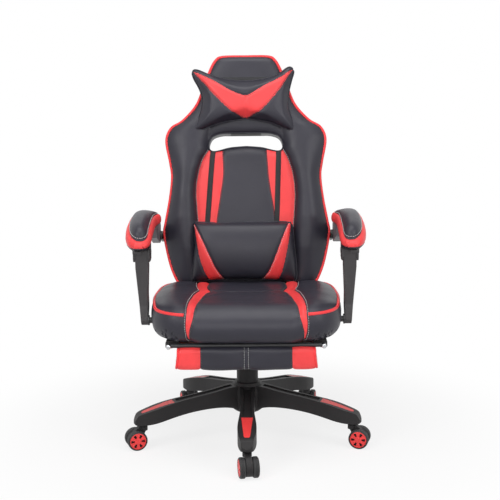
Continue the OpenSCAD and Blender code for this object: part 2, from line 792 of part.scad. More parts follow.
module caster_body() {
    axle = [caster_trail, wheel_d / 2];
    difference() {
        color(plastic) union() {
            front(-wheel_in + 0.6, wheel_in - 0.6) polygon(concat(
                arc(axle, wheel_d / 2 - 4, -90, 40, 16), [[14, 68]], [[-12, 68]],
                arc(axle, wheel_d / 2 - 4, 150, 270, 14)));
            translate([0, 0, 56]) cylinder(r = 13.5, h = 12);
            translate([0, 0, 68]) cylinder(r = 11.5, h = 5.5);
        }
        translate([axle[0], -20, axle[1]]) rotate([-90, 0, 0]) cylinder(r = axle_r, h = 40);
        translate([0, 0, 60]) cylinder(r = stem_d / 2 - 1, h = 20);
    }
    color(chrome) {
        translate([0, 0, 60]) cylinder(r = stem_d / 2 - 1, h = 13);
        translate([0, 0, 73]) cylinder(r = stem_d / 2, h = stem_top - 73);
        translate([axle[0], -wheel_in - wheel_t + cap_t + 1, axle[1]]) rotate([-90, 0, 0])
            cylinder(r = axle_r, h = 2 * (wheel_in + wheel_t - cap_t - 1));
    }
}

// A wheel, made about the Z axis: tread grooves, and a dished face that takes the cap
module wheel_shape() {
    r = wheel_d / 2;
    bore = axle_r + run_gap;
    rotate_extrude() polygon([[bore, 0], [r - 6, 0], [r - 2.5, 1], [r, 4], [r, 7], [r - 0.8, 7.5],
        [r, 8], [r, 10.5], [r - 0.8, 11], [r, 11.5], [r, 14], [r - 1.5, 16.5], [r - 4, wheel_t],
        [cap_r + 0.3, wheel_t], [cap_r + 0.3, wheel_t - cap_t], [cap_r - 3, wheel_t - cap_t],
        [cap_r - 4, wheel_t - 8], [9, wheel_t - 8], [8, wheel_t - cap_t], [bore, wheel_t - cap_t]]);
}

// Cap with six openings between its spokes
module cap_shape() {
    translate([0, 0, wheel_t - cap_t]) difference() {
        rotate_extrude() polygon([[0, 0], [cap_r, 0], [cap_r, 1.6], [cap_r - 2, 2.6],
            [10, 3.2], [6, 4.2], [0, 4.4]]);
        for (a = [0 : 60 : 359]) rotate([0, 0, a]) translate([0, 0, -1])
            linear_extrude(8) polygon(concat(arc([19, -2.2], 2.2, 270, 350, 3),
                arc([19, 2.2], 2.2, 10, 90, 3), arc([11.2, 1.2], 1.2, 90, 180, 2),
                arc([11.2, -1.2], 1.2, 180, 270, 2)));
    }
}

// Puts a wheel or cap on the left (+1) or right (-1) end of the axle
module on_axle(end) {
    translate([caster_trail, end * wheel_in, wheel_d / 2]) rotate([end > 0 ? -90 : 90, 0, 0])
        children();
}

module caster_wheel(end) { color(plastic) on_axle(end) wheel_shape(); }
module caster_cap(end) { color(red_plastic) on_axle(end) cap_shape(); }

// ---------- nodes ----------

star_base();
leg_inserts();
lift_outer_tube();
cover_lower();
cover_middle();
cover_upper();
lift_piston_rod();
lift_inner_column();
mechanism_housing();
height_lever();
tension_knob();
tilt_plate();
seat_frame();
seat_cushion();
recliner_seat_plates();
recliner_back_plates();
recline_lever();
footrest_brackets();
footrest_frame();
footrest_pad();
back_frame();
back_cushion();
window_trim();
arm_brackets();
strut_brackets();
lumbar_pillow();
lumbar_straps();
head_pillow();
head_strap();
arm_frame_left();
arm_frame_right();
arm_pad_left();
arm_pad_right();
strut_left();
strut_right();
for (k = [0 : leg_count - 1]) {
    name = str("caster_", k + 1);
    at_caster(k) caster_body();
    at_caster(k) caster_wheel(1);
    at_caster(k) caster_wheel(-1);
    at_caster(k) caster_cap(1);
    at_caster(k) caster_cap(-1);
}
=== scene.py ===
import json
import math

import bpy
import bmesh
import numpy as np
from mathutils import Matrix, Vector, geometry, noise

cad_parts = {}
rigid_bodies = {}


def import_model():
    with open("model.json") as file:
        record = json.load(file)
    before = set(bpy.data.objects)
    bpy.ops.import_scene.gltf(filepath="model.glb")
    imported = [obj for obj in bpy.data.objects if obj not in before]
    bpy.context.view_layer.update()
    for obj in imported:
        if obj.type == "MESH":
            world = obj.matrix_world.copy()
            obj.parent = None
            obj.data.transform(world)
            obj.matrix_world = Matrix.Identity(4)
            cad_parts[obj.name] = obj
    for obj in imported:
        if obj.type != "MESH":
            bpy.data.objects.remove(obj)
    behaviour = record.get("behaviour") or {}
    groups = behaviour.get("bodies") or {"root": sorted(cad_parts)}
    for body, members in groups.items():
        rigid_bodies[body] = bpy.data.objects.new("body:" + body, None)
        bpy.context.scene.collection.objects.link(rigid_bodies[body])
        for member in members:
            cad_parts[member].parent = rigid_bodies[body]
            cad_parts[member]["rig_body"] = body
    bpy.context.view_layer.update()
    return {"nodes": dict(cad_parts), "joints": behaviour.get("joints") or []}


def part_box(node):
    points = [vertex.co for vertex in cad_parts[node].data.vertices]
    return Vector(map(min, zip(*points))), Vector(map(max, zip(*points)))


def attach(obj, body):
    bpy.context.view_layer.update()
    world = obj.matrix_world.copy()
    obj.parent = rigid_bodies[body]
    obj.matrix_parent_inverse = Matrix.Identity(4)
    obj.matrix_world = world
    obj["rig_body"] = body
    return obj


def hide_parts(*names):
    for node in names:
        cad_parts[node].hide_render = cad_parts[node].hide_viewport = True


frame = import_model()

# ---- the frame's own measures
JOINT = {j["name"]: j for j in frame["joints"]}
HINGE_Y, HINGE_Z = JOINT["backrest_recline"]["pos_m"][1:]
RAKE = math.acos(JOINT["lumbar_pillow_height"]["axis"][2])
SEAT_LO, SEAT_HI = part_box("seat_cushion")
PAD_LO, PAD_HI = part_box("footrest_pad")
BAR_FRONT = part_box("footrest_frame")[0][1]

# The backrest's own frame: x across, n through it, s up it, in metres
FRONT_N, REAR_N = -0.025, 0.055
REAR_EDGE_N = REAR_N - .004    # the rear panel's sewn edge; the panel is crowned behind it
BACK_HALF = [(0, .033), (.120, .033), (.200, .033), (.224, .042), (.242, .074), (.258, .124),
             (.273, .205), (.268, .245), (.254, .320), (.246, .392), (.252, .440), (.264, .512),
             (.247, .555), (.208, .580), (.165, .628), (.141, .685), (.118, .745), (.099, .777),
             (.075, .789), (0, .790)]
WELT_ROOM = .005    # the sewn edge lies this far inside the outline, to leave room for the piping
WINDOW_HALF = [(0, .535), (.050, .535), (.084, .533), (.109, .523), (.120, .503), (.1195, .483),
               (.107, .4745), (.085, .4775), (.050, .486), (0, .490)]


# ---- curves and meshes
def smooth_curve(points, steps, closed=False):
    """Catmull-Rom curve through the points, as an array."""
    p = np.array(points, float)
    p = np.vstack([p[-1:], p, p[:2]] if closed else [p[:1], p, p[-1:]])
    out = []
    for a, b, c, d in zip(p, p[1:], p[2:], p[3:]):
        for j in range(steps):
            t = j / steps
            out.append(0.5 * (2 * b + (c - a) * t + (2 * a - 5 * b + 4 * c - d) * t * t
                              + (3 * b - a - 3 * c + d) * t ** 3))
    if not closed:
        out.append(p[-1])
    return np.array(out)


def mirrored(half):
    """Closed outline from its right-hand half."""
    half = np.array(half, float)
    other = half[::-1][half[::-1, 0] > 1e-5] * [-1, 1]
    return np.vstack([half, other])


def resample(points, step, closed=False):
    """The same line with points about "step" apart."""
    p = np.array(points, float)
    if closed:
        p = np.vstack([p, p[:1]])
    run = np.r_[0, np.cumsum(np.linalg.norm(np.diff(p, axis=0), axis=1))]
    count = max(2, int(round(run[-1] / step)) + 1)
    at = np.linspace(0, run[-1], count)
    out = np.stack([np.interp(at, run, p[:, i]) for i in range(p.shape[1])], axis=1)
    return out[:-1] if closed else out


def eased(ring, rounds):
    """A closed ring with its kinks smoothed away."""
    for _ in range(rounds):
        ring = (np.roll(ring, 1, axis=0) + 2 * ring + np.roll(ring, -1, axis=0)) / 4
    return ring


def unit(v):
    """Rows scaled to length 1."""
    return v / np.maximum(np.linalg.norm(v, axis=1), 1e-12)[:, None]


def inside(poly, pts):
    """Which points lie inside a closed outline."""
    poly = np.asarray(poly)
    x, y = pts[:, 0][:, None], pts[:, 1][:, None]
    x1, y1 = poly[:, 0], poly[:, 1]
    x2, y2 = np.roll(x1, -1), np.roll(y1, -1)
    cross = (y1 > y) != (y2 > y)
    with np.errstate(divide="ignore", invalid="ignore"):
        at = (x2 - x1) * (y - y1) / (y2 - y1) + x1
    return (np.sum(cross & (x < at), axis=1) % 2) == 1


def distance_to(lines, pts):
    """Distance from each point to the nearest of some polylines."""
    best = np.full(len(pts), 9.0)
    block = 4000    # points at a time, to save memory
    for line in lines:
        a, b = line[:-1], line[1:]
        d = b - a
        ll = np.maximum(np.sum(d * d, axis=1), 1e-12)
        for i in range(0, len(pts), block):
            p = pts[i:i + block]
            t = np.clip(np.einsum("pk,sk->ps", p, d) - np.sum(a * d, axis=1), 0, ll) / ll
            near = a[None] + t[..., None] * d[None]
            dist = np.sqrt(np.min(np.sum((p[:, None] - near) ** 2, axis=2), axis=1))
            best[i:i + block] = np.minimum(best[i:i + block], dist)
    return best


def closed_line(p):
    """A closed ring as a line that ends where it starts."""
    return np.vstack([p, p[:1]])


def triangulate(outline, holes, seams, step):
    """Flat mesh of an outline with its seams as edges: points and triangles."""
    rings = [outline] + list(holes)
    lines = [closed_line(r) for r in rings] + list(seams)
    lo, hi = outline.min(axis=0), outline.max(axis=0)
    rows = []
    h = step * math.sqrt(3) / 2
    for i, y in enumerate(np.arange(lo[1], hi[1], h)):
        x = np.arange(lo[0] + (i % 2) * step / 2, hi[0], step)
        rows.append(np.stack([x, np.full(len(x), y)], axis=1))
    grid = np.vstack(rows)
    keep = inside(outline, grid) & (distance_to(lines, grid) > 0.55 * step)
    for hole in holes:
        keep &= ~inside(hole, grid)
    verts, edges = [], []
    for r in rings:
        base = len(verts)
        verts += [Vector(p) for p in r]
        edges += [(base + i, base + (i + 1) % len(r)) for i in range(len(r))]
    for s in seams:
        base = len(verts)
        verts += [Vector(p) for p in s]
        edges += [(base + i, base + i + 1) for i in range(len(s) - 1)]
    verts += [Vector(p) for p in grid[keep]]
    out = geometry.delaunay_2d_cdt(verts, edges, [], 0, 1e-5)
    pts = np.array([tuple(v) for v in out[0]])
    tris = np.array([f for f in out[2]])
    mid = pts[tris].mean(axis=1)
    ok = inside(outline, mid)
    for hole in holes:
        ok &= ~inside(hole, mid)
    return pts, tris[ok]


def add_object(name, data):
    o = bpy.data.objects.new(name, data)
    bpy.context.scene.collection.objects.link(o)
    return o


def make(name, verts, faces, mats, index=None, body=None, slot=None):
    """A mesh object in the scene, riding on a body."""
    mesh = bpy.data.meshes.new(name)
    mesh.from_pydata([tuple(map(float, v)) for v in verts], [], [tuple(map(int, f)) for f in faces])
    for m in mats:
        mesh.materials.append(m)
    if index is not None:
        mesh.polygons.foreach_set("material_index", np.asarray(index, dtype=np.int32))
    mesh.polygons.foreach_set("use_smooth", [True] * len(mesh.polygons))
    mesh.update()
    o = add_object(name, mesh)
    if body:
        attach(o, body)
    return o


def tidy(o, merge=0.0002):
    """Welds points closer than "merge" and turns every face outwards."""
    bm = bmesh.new()
    bm.from_mesh(o.data)
    bmesh.ops.remove_doubles(bm, verts=bm.verts, dist=merge)
    bmesh.ops.dissolve_degenerate(bm, edges=bm.edges, dist=1e-6)
    bmesh.ops.recalc_face_normals(bm, faces=bm.faces)
    bm.to_mesh(o.data)
    bm.free()


def ring_faces(a, b, n):
    """Faces between two rings of n vertices that start at vertices a and b."""
    return [(a + k, a + (k + 1) % n, b + (k + 1) % n, b + k) for k in range(n)]


def fan_faces(a, tip, n):
    """Faces between a ring of n vertices that starts at vertex a and one more vertex."""
    return [(a + k, a + (k + 1) % n, tip) for k in range(n)]


def sweep(path, radius, closed=False, sides=10):
    """Tube along a path: vertices and faces."""
    p = np.array(path, float)
    n = len(p)
    rad = np.broadcast_to(np.asarray(radius, float), (n,))
    tang = np.roll(p, -1, axis=0) - np.roll(p, 1, axis=0) if closed else np.gradient(p, axis=0)
    side = np.array((0.31, -0.2, 0.93))    # any direction that no path here runs in
    verts, faces = [], []
    for i, t in enumerate(unit(tang)):
        side = side - t * np.dot(side, t)
        if np.linalg.norm(side) < 1e-6:
            side = np.cross(t, (1, 0, 0))
        side /= np.linalg.norm(side)
        other = np.cross(t, side)
        for k in range(sides):
            g = 2 * math.pi * k / sides
            verts.append(p[i] + rad[i] * (side * math.cos(g) + other * math.sin(g)))
    for i in range(n if closed else n - 1):
        faces += ring_faces(i * sides, (i + 1) % n * sides, sides)
    if not closed:
        faces.append(tuple(range(sides))[::-1])
        faces.append(tuple((n - 1) * sides + k for k in range(sides)))
    return verts, faces


def join_parts(parts):
    """Several (vertices, faces) as one."""
    verts, faces = [], []
    for v, f in parts:
        base = len(verts)
        verts += list(v)
        faces += [tuple(i + base for i in face) for face in f]
    return verts, faces


def stitches(path, out, length=.0048, gap=.0022, r=.00065):
    """Thread stitches along a path; "out" is the surface's normal at each of its points."""
    p = np.array(path, float)
    run = np.r_[0, np.cumsum(np.linalg.norm(np.diff(p, axis=0), axis=1))]
    parts = []
    s = gap
    while s + length < run[-1]:
        line = []
        # each stitch dips under the surface at its two ends
        for at, lift in ((0, -.0002), (.25, .00045), (.75, .00045), (1, -.0002)):
            q, n = (np.array([np.interp(s + at * length, run, v[:, i]) for i in range(3)])
                    for v in (p, out))
            line.append(q + n / max(np.linalg.norm(n), 1e-9) * lift)
        parts.append(sweep(line, [r * .7, r, r, r * .7], sides=5))
        s += length + gap
    return join_parts(parts)


def thread(name, rows, material, body):
    """Rows of stitches as one piece."""
    make(name, *join_parts(rows), [material], None, body)


def piping(name, paths, radius, body, red=False, closed=True, sides=8):
    """Welts along some paths as one piece, in the red piping or in the cover's own black."""
    material, slot = (PIPE, "red_leather") if red else (BLUE_SHEEN_BLACK, "black_leather")
    tubes = [sweep(path, radius, closed, sides) for path in paths]
    make(name, *join_parts(tubes), [material], None, body, slot)


def underside(rim, inner, centre):
    """Closes a cover below: its rim, a smaller ring and a middle point, as vertices and faces."""
    n = len(rim)
    return [*rim, *inner, centre], ring_faces(0, n, n) + fan_faces(n, 2 * n, n)


def upholstery(name, parts, index, body, node):
    """A black and red cover that stands for a soft node; past "index" its faces are black."""
    verts, faces = join_parts(parts)
    index = np.r_[index, np.zeros(len(faces) - len(index), int)]
    o = make(name, verts, faces, [BLUE_SHEEN_BLACK, RED], index, body, "black_leather")
    tidy(o)
    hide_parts(node)


# ---- materials
class Tree:
    """The node tree of a material or a world, with short ways to add to it."""

    def __init__(self, owner):
        owner.use_nodes = True
        self.nodes, self.links = owner.node_tree.nodes, owner.node_tree.links

    def put(self, node, values):
        """Gives a node's inputs a value each, or a link from another node's output."""
        for key, value in values.items():
            if isinstance(value, bpy.types.NodeSocket):
                self.links.new(value, node.inputs[key])
            else:
                node.inputs[key].default_value = value

    def add(self, kind, values, **settings):
        node = self.nodes.new(kind)
        for key, value in settings.items():
            setattr(node, key, value)
        self.put(node, values)
        return node

    def noise(self, vec, scale, detail=3.0, rough=.55):
        return self.add("ShaderNodeTexNoise", {"Vector": vec, "Scale": scale, "Detail": detail,
                                               "Roughness": rough}).outputs["Fac"]

    def tones(self, fac, colour, dark, light, at=(.3, .7)):
        """The colour times "dark" up to one level of "fac", times "light" above the other."""
        r = self.add("ShaderNodeValToRGB", {"Fac": fac})
        for e, place, k in zip(r.color_ramp.elements, at, (dark, light)):
            e.position = place
            e.color = (*(min(1, v * k) for v in colour), 1)
        return r.outputs["Color"]

    def span(self, fac, lo, hi):
        return self.add("ShaderNodeMapRange", {"Value": fac, "To Min": lo,
                                               "To Max": hi}).outputs["Result"]

    def calc(self, operation, a, b):
        return self.add("ShaderNodeMath", {0: a, 1: b}, operation=operation).outputs[0]

    def bump(self, height, strength, distance):
        return self.add("ShaderNodeBump", {"Height": height, "Strength": strength,
                                           "Distance": distance}).outputs["Normal"]


def new_material(name):
    """A material, its tree, its shader and the object's own coordinates."""
    m = bpy.data.materials.new(name)
    tree = Tree(m)
    coord = tree.nodes.new("ShaderNodeTexCoord")
    return m, tree, tree.nodes["Principled BSDF"], coord.outputs["Object"]


def leather(name, colour, rough=.40, grain=.00022):
    """Coated leather: pebble grain, soft creases, a satin coat with uneven gloss."""
    m, tree, shader, vec = new_material(name)
    pebble = tree.add("ShaderNodeTexVoronoi", {"Vector": vec, "Scale": 620}, feature="SMOOTH_F1")
    fine = tree.noise(vec, 1500, 2)
    crease = tree.noise(vec, 34, 6, .62)
    height = tree.calc("ADD", tree.calc("MULTIPLY", pebble.outputs["Distance"], .9),
                       tree.calc("ADD", tree.calc("MULTIPLY", fine, .25),
                                 tree.calc("MULTIPLY", crease, 1.1)))
    tree.put(shader, {"Base Color": tree.tones(tree.noise(vec, 9, 4), colour, .90, 1.10),
                      "Roughness": tree.span(crease, rough - .07, rough + .09),
                      "Specular IOR Level": .36,
                      "Normal": tree.bump(height, .55, grain)})
    return m


def moulded(name, colour, rough=.5, scale=900, depth=.00008, gloss=.35):
    """Moulded plastic: spark-eroded texture, faint flow marks, rubbed patches."""
    m, tree, shader, vec = new_material(name)
    grit = tree.noise(vec, scale, 4, .7)
    rub = tree.noise(vec, 55, 5, .65)
    tree.put(shader, {"Base Color": tree.tones(tree.noise(vec, 14, 3), colour, .92, 1.08),
                      "Roughness": tree.span(rub, rough - .08, rough + .08),
                      "Specular IOR Level": gloss,
                      "Normal": tree.bump(grit, .5, depth)})
    return m


def metal(name, colour, rough, metallic, scale=300, depth=.00003):
    """Plated or painted steel with fine orange peel and handling marks."""
    m, tree, shader, vec = new_material(name)
    peel = tree.noise(vec, scale, 3)
    marks = tree.noise(vec, 40, 6, .7)
    tree.put(shader, {"Base Color": tree.tones(marks, colour, .93, 1.05),
                      "Roughness": tree.span(marks, rough * .8, rough * 1.25),
                      "Metallic": metallic,
                      "Normal": tree.bump(peel, .4, depth)})
    return m


def webbing(name, colour):
    """Woven elastic: ribs across the strap and a fine weave."""
    m, tree, shader, vec = new_material(name)
    weave = tree.add("ShaderNodeTexWave", {"Vector": vec, "Scale": 190, "Distortion": .6},
                     bands_direction="Z")
    across = tree.add("ShaderNodeTexWave", {"Vector": vec, "Scale": 260}, bands_direction="X")
    both = tree.calc("ADD", weave.outputs["Fac"], across.outputs["Fac"])
    tree.put(shader, {"Base Color": tree.tones(both, colour, .7, 1.4, at=(.2, .9)),
                      "Roughness": .85,
                      "Normal": tree.bump(both, .7, .0003)})
    return m


# The black's blue cast is painted reflection: it stands for the bluish sheen of the leather's
# highlights.
BLUE_SHEEN_BLACK = leather("black_leather", (.0232, .0221, .0325))
RED = leather("red_leather", (.90, .060, .064))
PIPE = leather("red_piping", (.90, .045, .052), rough=.38, grain=.0001)
THREAD_GREY = moulded("thread_grey", (.56, .56, .56), rough=.8, scale=2500)
THREAD_DARK = moulded("thread_dark", (.10, .10, .10), rough=.8, scale=2500)
THREAD_RED = moulded("thread_red", (.45, .03, .03), rough=.8, scale=2500)
# Painted shade: this nylon is darker than the arm frames' nylon, so the star base, column covers,
# knob, brackets and casters under the seat look shaded.
SHADED_NYLON = moulded("nylon", (.0185, .0172, .0180), gloss=.26)
ARM_NYLON = moulded("arm_nylon", (.048, .045, .047), rough=.48)
# Painted shade: the window trim is a near-black that stands for the shade inside the backrest's
# opening.
SHADED_TRIM = moulded("shaded_trim", (.008, .008, .010), rough=.62)
GREY_PLASTIC = moulded("grey_plastic", (.15, .145, .16))
RED_PLASTIC = moulded("red_plastic", (.86, .055, .055), rough=.36, depth=.00004)
RUBBER = moulded("wheel_tread", (.028, .028, .029), rough=.55, scale=1200)
STEEL = metal("painted_steel", (.028, .028, .030), .42, .2)
CHROME = metal("chrome", (.56, .57, .59), .20, 1.0, scale=120, depth=.00001)
STRAP = webbing("elastic", (.022, .022, .024))


# ---- sewn sheets
def nearest(ring, normals, pts):
    """For each point: the nearest point of a closed ring, the normal there, the distance.

    The distance is negative for points inside the ring.
    """
    a, b = ring, np.roll(ring, -1, axis=0)
    na, nb = normals, np.roll(normals, -1, axis=0)
    d = b - a
    ll = np.maximum(np.sum(d * d, axis=1), 1e-12)
    q, n, r = np.zeros_like(pts), np.zeros_like(pts), np.zeros(len(pts))
    block = 3000
    for i in range(0, len(pts), block):
        p = pts[i:i + block]
        t = np.clip(((p[:, None] - a[None]) * d[None]).sum(axis=2) / ll, 0, 1)
        near = a[None] + t[..., None] * d[None]
        dist = np.linalg.norm(p[:, None] - near, axis=2)
        k = dist.argmin(axis=1)
        row = np.arange(len(p))
        tk = t[row, k][:, None]
        q[i:i + block] = near[row, k]
        n[i:i + block] = na[k] * (1 - tk) + nb[k] * tk
        r[i:i + block] = dist[row, k]
    return q, unit(n), np.where(inside(ring, pts), -r, r)


def outward(ring):
    """Outward unit normals of a closed flat ring given as (a, b)."""
    t = unit(np.roll(ring, -1, axis=0) - np.roll(ring, 1, axis=0))
    n = np.stack([t[:, 1], -t[:, 0]], axis=1)
    area = np.sum(ring[:, 0] * np.roll(ring[:, 1], -1) - np.roll(ring[:, 0], -1) * ring[:, 1])
    return n if area > 0 else -n


def wobble(pts, scale, seed):
    """Smooth unevenness over flat points, from -1 to 1."""
    return np.array([noise.noise(Vector((a * scale, b * scale, seed))) for a, b in pts])


class Sheet:
    """Sewn cover: a flat pattern with seams, and the map "lay" that puts it over the form.

    The seams lie "groove" deep and about "width" wide. The panels between them rise by "puff",
    most of it within "reach" of the seam. "slack" is the height of the slow waves over it all.
    """

    def __init__(self, outline, lay, seams, holes, step, seed, groove, puff, reach,
                 width=.0032, slack=.0012):
        self.lay, self.seed = lay, seed
        self.seams = [resample(c, step) for c in seams]
        self.groove, self.puff, self.reach = groove, puff, reach
        self.width, self.slack = width, slack
        self.pts, self.tris = triangulate(outline, holes, self.seams, step)
        self.mid = self.pts[self.tris].mean(axis=1)

    def normal(self, p):
        e = .0012
        a = self.lay(p + [e, 0]) - self.lay(p - [e, 0])
        b = self.lay(p + [0, e]) - self.lay(p - [0, e])
        return unit(np.cross(a, b))

    def at(self, p, lift=0.0):
        """Where pattern points lie on the sewn cover, or "lift" above it."""
        p = np.asarray(p, float)
        d = distance_to(self.seams, p)
        h = np.full(len(p), lift)
        seam = self.groove * np.exp(-(d / self.width) ** 2)
        h += self.puff * (1 - np.exp(-d / self.reach)) - seam
        h += .0007 * wobble(p, 75, self.seed) * np.exp(-d / .016)    # puckers beside the seams
        h += self.slack * wobble(p, 13, self.seed + 5)
        return self.lay(p) + self.normal(p) * h[:, None]

    def skin(self, *edges):
        """The cover's own mesh; its points on the given rings stay on the plain form."""
        verts = self.at(self.pts)
        held = distance_to([closed_line(ring) for ring in edges], self.pts) < 1e-5
        verts[held] = self.lay(self.pts[held])
        return verts, self.tris

    def stitch(self, line, **kw):
        """Stitches along a line of the pattern."""
        line = resample(line, .004)
        return stitches(self.at(line, .0004), self.normal(line), **kw)

    def stitch_beside(self, lines, offsets):
        """A row of stitches beside each line, so far to its side."""
        return [self.stitch(beside(line, by)) for line, by in zip(lines, offsets)]


def beside(line, by):
    """A line shifted sideways by "by", in the flat."""
    t = unit(np.gradient(line, axis=0))
    return line + np.stack([t[:, 1], -t[:, 0]], axis=1) * by


def band(ring_a, ring_b, rows, bulge, out):
    """Wall between two rings of the same length; it bulges along "out"."""
    n = len(ring_a)
    verts, faces = [], []
    for r in range(rows + 1):
        t = r / rows
        verts += list(ring_a * (1 - t) + ring_b * t + out * bulge * math.sin(math.pi * t) ** .7)
    for r in range(rows):
        faces += ring_faces(r * n, (r + 1) * n, n)
    return verts, faces


def profile(points):
    """Smooth functions of distance from (distance, offset, height) rows."""
    c = smooth_curve(points, 10)
    keep = np.r_[True, np.diff(c[:, 0]) > 1e-6]
    c = c[keep]
    return lambda d: (np.interp(d, c[:, 0], c[:, 1]), np.interp(d, c[:, 0], c[:, 2]))


# ---- backrest
def in_back(x, n, s):
    """Points given in the backrest's own frame, in the shared frame."""
    x, n, s = np.broadcast_arrays(np.asarray(x, float), n, s)
    return np.stack([x, HINGE_Y + n * math.cos(RAKE) + s * math.sin(RAKE),
                     HINGE_Z + s * math.cos(RAKE) - n * math.sin(RAKE)], axis=-1)


# the directions of the backrest's own frame, in the shared frame
ACROSS, THROUGH, UP = in_back([1, 0, 0], [0, 1, 0], [0, 0, 1]) - in_back(0, 0, 0)
STEP = .0055    # between the points of the large covers' patterns
# by height up the back: inner edges of the red inserts, then the seams of the wings
INSERT_S = [.10, .25, .30, .345, .375, .40, .43, .46, .49]
INSERT_LEFT = [.108, .0975, .0895, .0825, .0775, .0750, .0750, .0765, .0780]
INSERT_RIGHT = [.106, .0955, .0885, .0805, .0760, .0735, .0715, .0695, .0685]
WING_S = [.05, .15, .25, .33, .37, .41, .45, .486, .52, .56, .62, .70, .79]
WING_X = [.146, .147, .1530, .1590, .1570, .1500, .1370, .1165, .124, .118, .104, .094, .080]
CAD_OUTLINE = resample(mirrored(smooth_curve(BACK_HALF, 8)), STEP, closed=True)
OUTLINE = CAD_OUTLINE - outward(CAD_OUTLINE) * WELT_ROOM
HALF_CURVE = OUTLINE[OUTLINE[:, 0] >= 0]
HALF_CURVE = HALF_CURVE[HALF_CURVE[:, 1].argsort(kind="stable")]
WINDOW = resample(mirrored(smooth_curve(WINDOW_HALF, 8)), STEP * .8, closed=True)


def wing_seam(x, s):
    """Where a wing meets the middle of the backrest, at height s, on the side that x is on."""
    lean = .0022 * np.interp(s, [.05, .25, .44, .49], [0, 1, 1, 0])
    return np.interp(s, WING_S, WING_X) - np.sign(x) * lean


def insert_edge(x, s):
    """Inner edge of the red inserts beside the middle of the backrest."""
    return np.where(np.asarray(x) < 0, np.interp(s, INSERT_S, INSERT_LEFT),
                    np.interp(s, INSERT_S, INSERT_RIGHT))


def back_form(p):
    """The front of the backrest before its seams are drawn in."""
    x, s = np.abs(p[:, 0]), p[:, 1]
    seam, edge = wing_seam(p[:, 0], s), np.interp(s, HALF_CURVE[:, 1], HALF_CURVE[:, 0])
    t = np.clip((x - seam) / np.maximum(edge - seam, .012), 0, 1)
    # how far the wings stand forward, by height
    wing = np.interp(s, [.04, .09, .16, .26, .42, .50, .56, .62, .70, .79],
                     [.012, .020, .032, .038, .034, .026, .018, .013, .010, .008])
    wing = wing * (np.sin(math.pi * t ** .85)) ** .85
    middle = .011 * (1 - np.clip(x / np.maximum(seam, .01), 0, 1) ** 2.4)
    middle = middle * np.interp(s, [.05, .12, .44, .49, .56, .62, .74, .79],
                                [.4, 1, 1, .5, .6, 1, 1, .4])
    # wings and middle give way to one crowned headrest
    below = np.interp(s, [.56, .64], [1, 0])
    rim = distance_to([closed_line(OUTLINE)], p)
    head = .013 * (1 - np.clip(x / np.maximum(edge, .01), 0, 1) ** 2.2)
    head *= np.clip(rim / .014, 0, 1) ** .7
    body = np.where(x > seam, wing, middle) * below + head * (1 - below)
    # the cover rounds off at its rim and draws in round the opening
    lip = distance_to([closed_line(WINDOW)], p)
    body = (body + .006 * (1 - np.exp(-rim / .010))) * (1 - .8 * np.exp(-(lip / .012) ** 1.5))
    return in_back(p[:, 0], FRONT_N - body, p[:, 1])


def build_backrest():
    """The whole cover, its piping and its stitching; returns the front's sheet."""
    seams, stripes = [], []
    for side, top in ((-1, .4800), (1, .4785)):
        s = np.linspace(.042, .4815, 90)
        seams.append(np.stack([side * wing_seam(side, s), s], axis=1))
        s = np.linspace(.102, top, 80)
        stripes.append(np.stack([side * insert_edge(side, s), s], axis=1))
    cover = Sheet(OUTLINE, back_form, seams + stripes, [WINDOW], STEP, seed=2.0, groove=.0024,
                  puff=.0026, reach=.016)
    x, s = np.abs(cover.mid[:, 0]), cover.mid[:, 1]
    inner, outer = insert_edge(cover.mid[:, 0], s), wing_seam(cover.mid[:, 0], s)
    red = (x > inner) & (x < outer) & (s < .4885) & (s > .10)

    # the rear panel is smaller all round by "inset", and crowned
    inset, middle, half_width, half_height = .009, .420, .26, .369
    rear_ring = np.stack([OUTLINE[:, 0] * (1 - inset / half_width),
                          middle + (OUTLINE[:, 1] - middle) * (1 - inset / half_height)], axis=1)
    rear_pts, rear_tris = triangulate(rear_ring, [WINDOW], [], STEP * 1.6)
    rim = distance_to([closed_line(rear_ring)], rear_pts)
    lip = distance_to([closed_line(WINDOW)], rear_pts)
    crown = .007 * (1 - np.exp(-rim / .02)) * np.clip(lip / .03, 0, 1) ** .6
    crown += .0012 * wobble(rear_pts, 12, 9.0) * np.minimum(rim / .03, 1)
    rear = in_back(rear_pts[:, 0], REAR_EDGE_N + crown, rear_pts[:, 1])

    front_edge = back_form(OUTLINE)
    rear_edge = in_back(rear_ring[:, 0], REAR_EDGE_N, rear_ring[:, 1])
    out = outward(OUTLINE)
    out = in_back(out[:, 0], 0, out[:, 1]) - in_back(0, 0, 0)
    wall = band(front_edge, rear_edge, 9, .004, out)
    lining = band(back_form(WINDOW), in_back(WINDOW[:, 0], REAR_EDGE_N, WINDOW[:, 1]), 5, 0, 0)
    upholstery("back_upholstery", [cover.skin(WINDOW, OUTLINE), (rear, rear_tris), wall, lining],
               red.astype(int), "backrest", "back_cushion")

    # the red welt leaves out the foot, which the seat hides
    low = OUTLINE[:, 1] < .048
    start = int(np.argmax(~low & np.roll(low, 1)))
    welt = front_edge + out * .0002 + (in_back(0, -.0022, 0) - in_back(0, 0, 0))
    welt = np.roll(welt, -start, axis=0)[:int(np.sum(~low))]
    piping("back_welt", [welt], .0050, "backrest", red=True, closed=False, sides=12)
    piping("back_rear_welt", [rear_edge + out * .0005], .0026, "backrest")
    piping("window_welt", [in_back(WINDOW[:, 0], FRONT_N - .0035, WINDOW[:, 1])], .0022, "backrest")
    rows = cover.stitch_beside(cover.seams[:2], (-.0032, .0032))
    thread("wing_stitching", rows, THREAD_GREY, "backrest")
    rows = cover.stitch_beside(cover.seams[2:], (.003, -.003))
    thread("insert_stitching", rows, THREAD_RED, "backrest")
    return cover


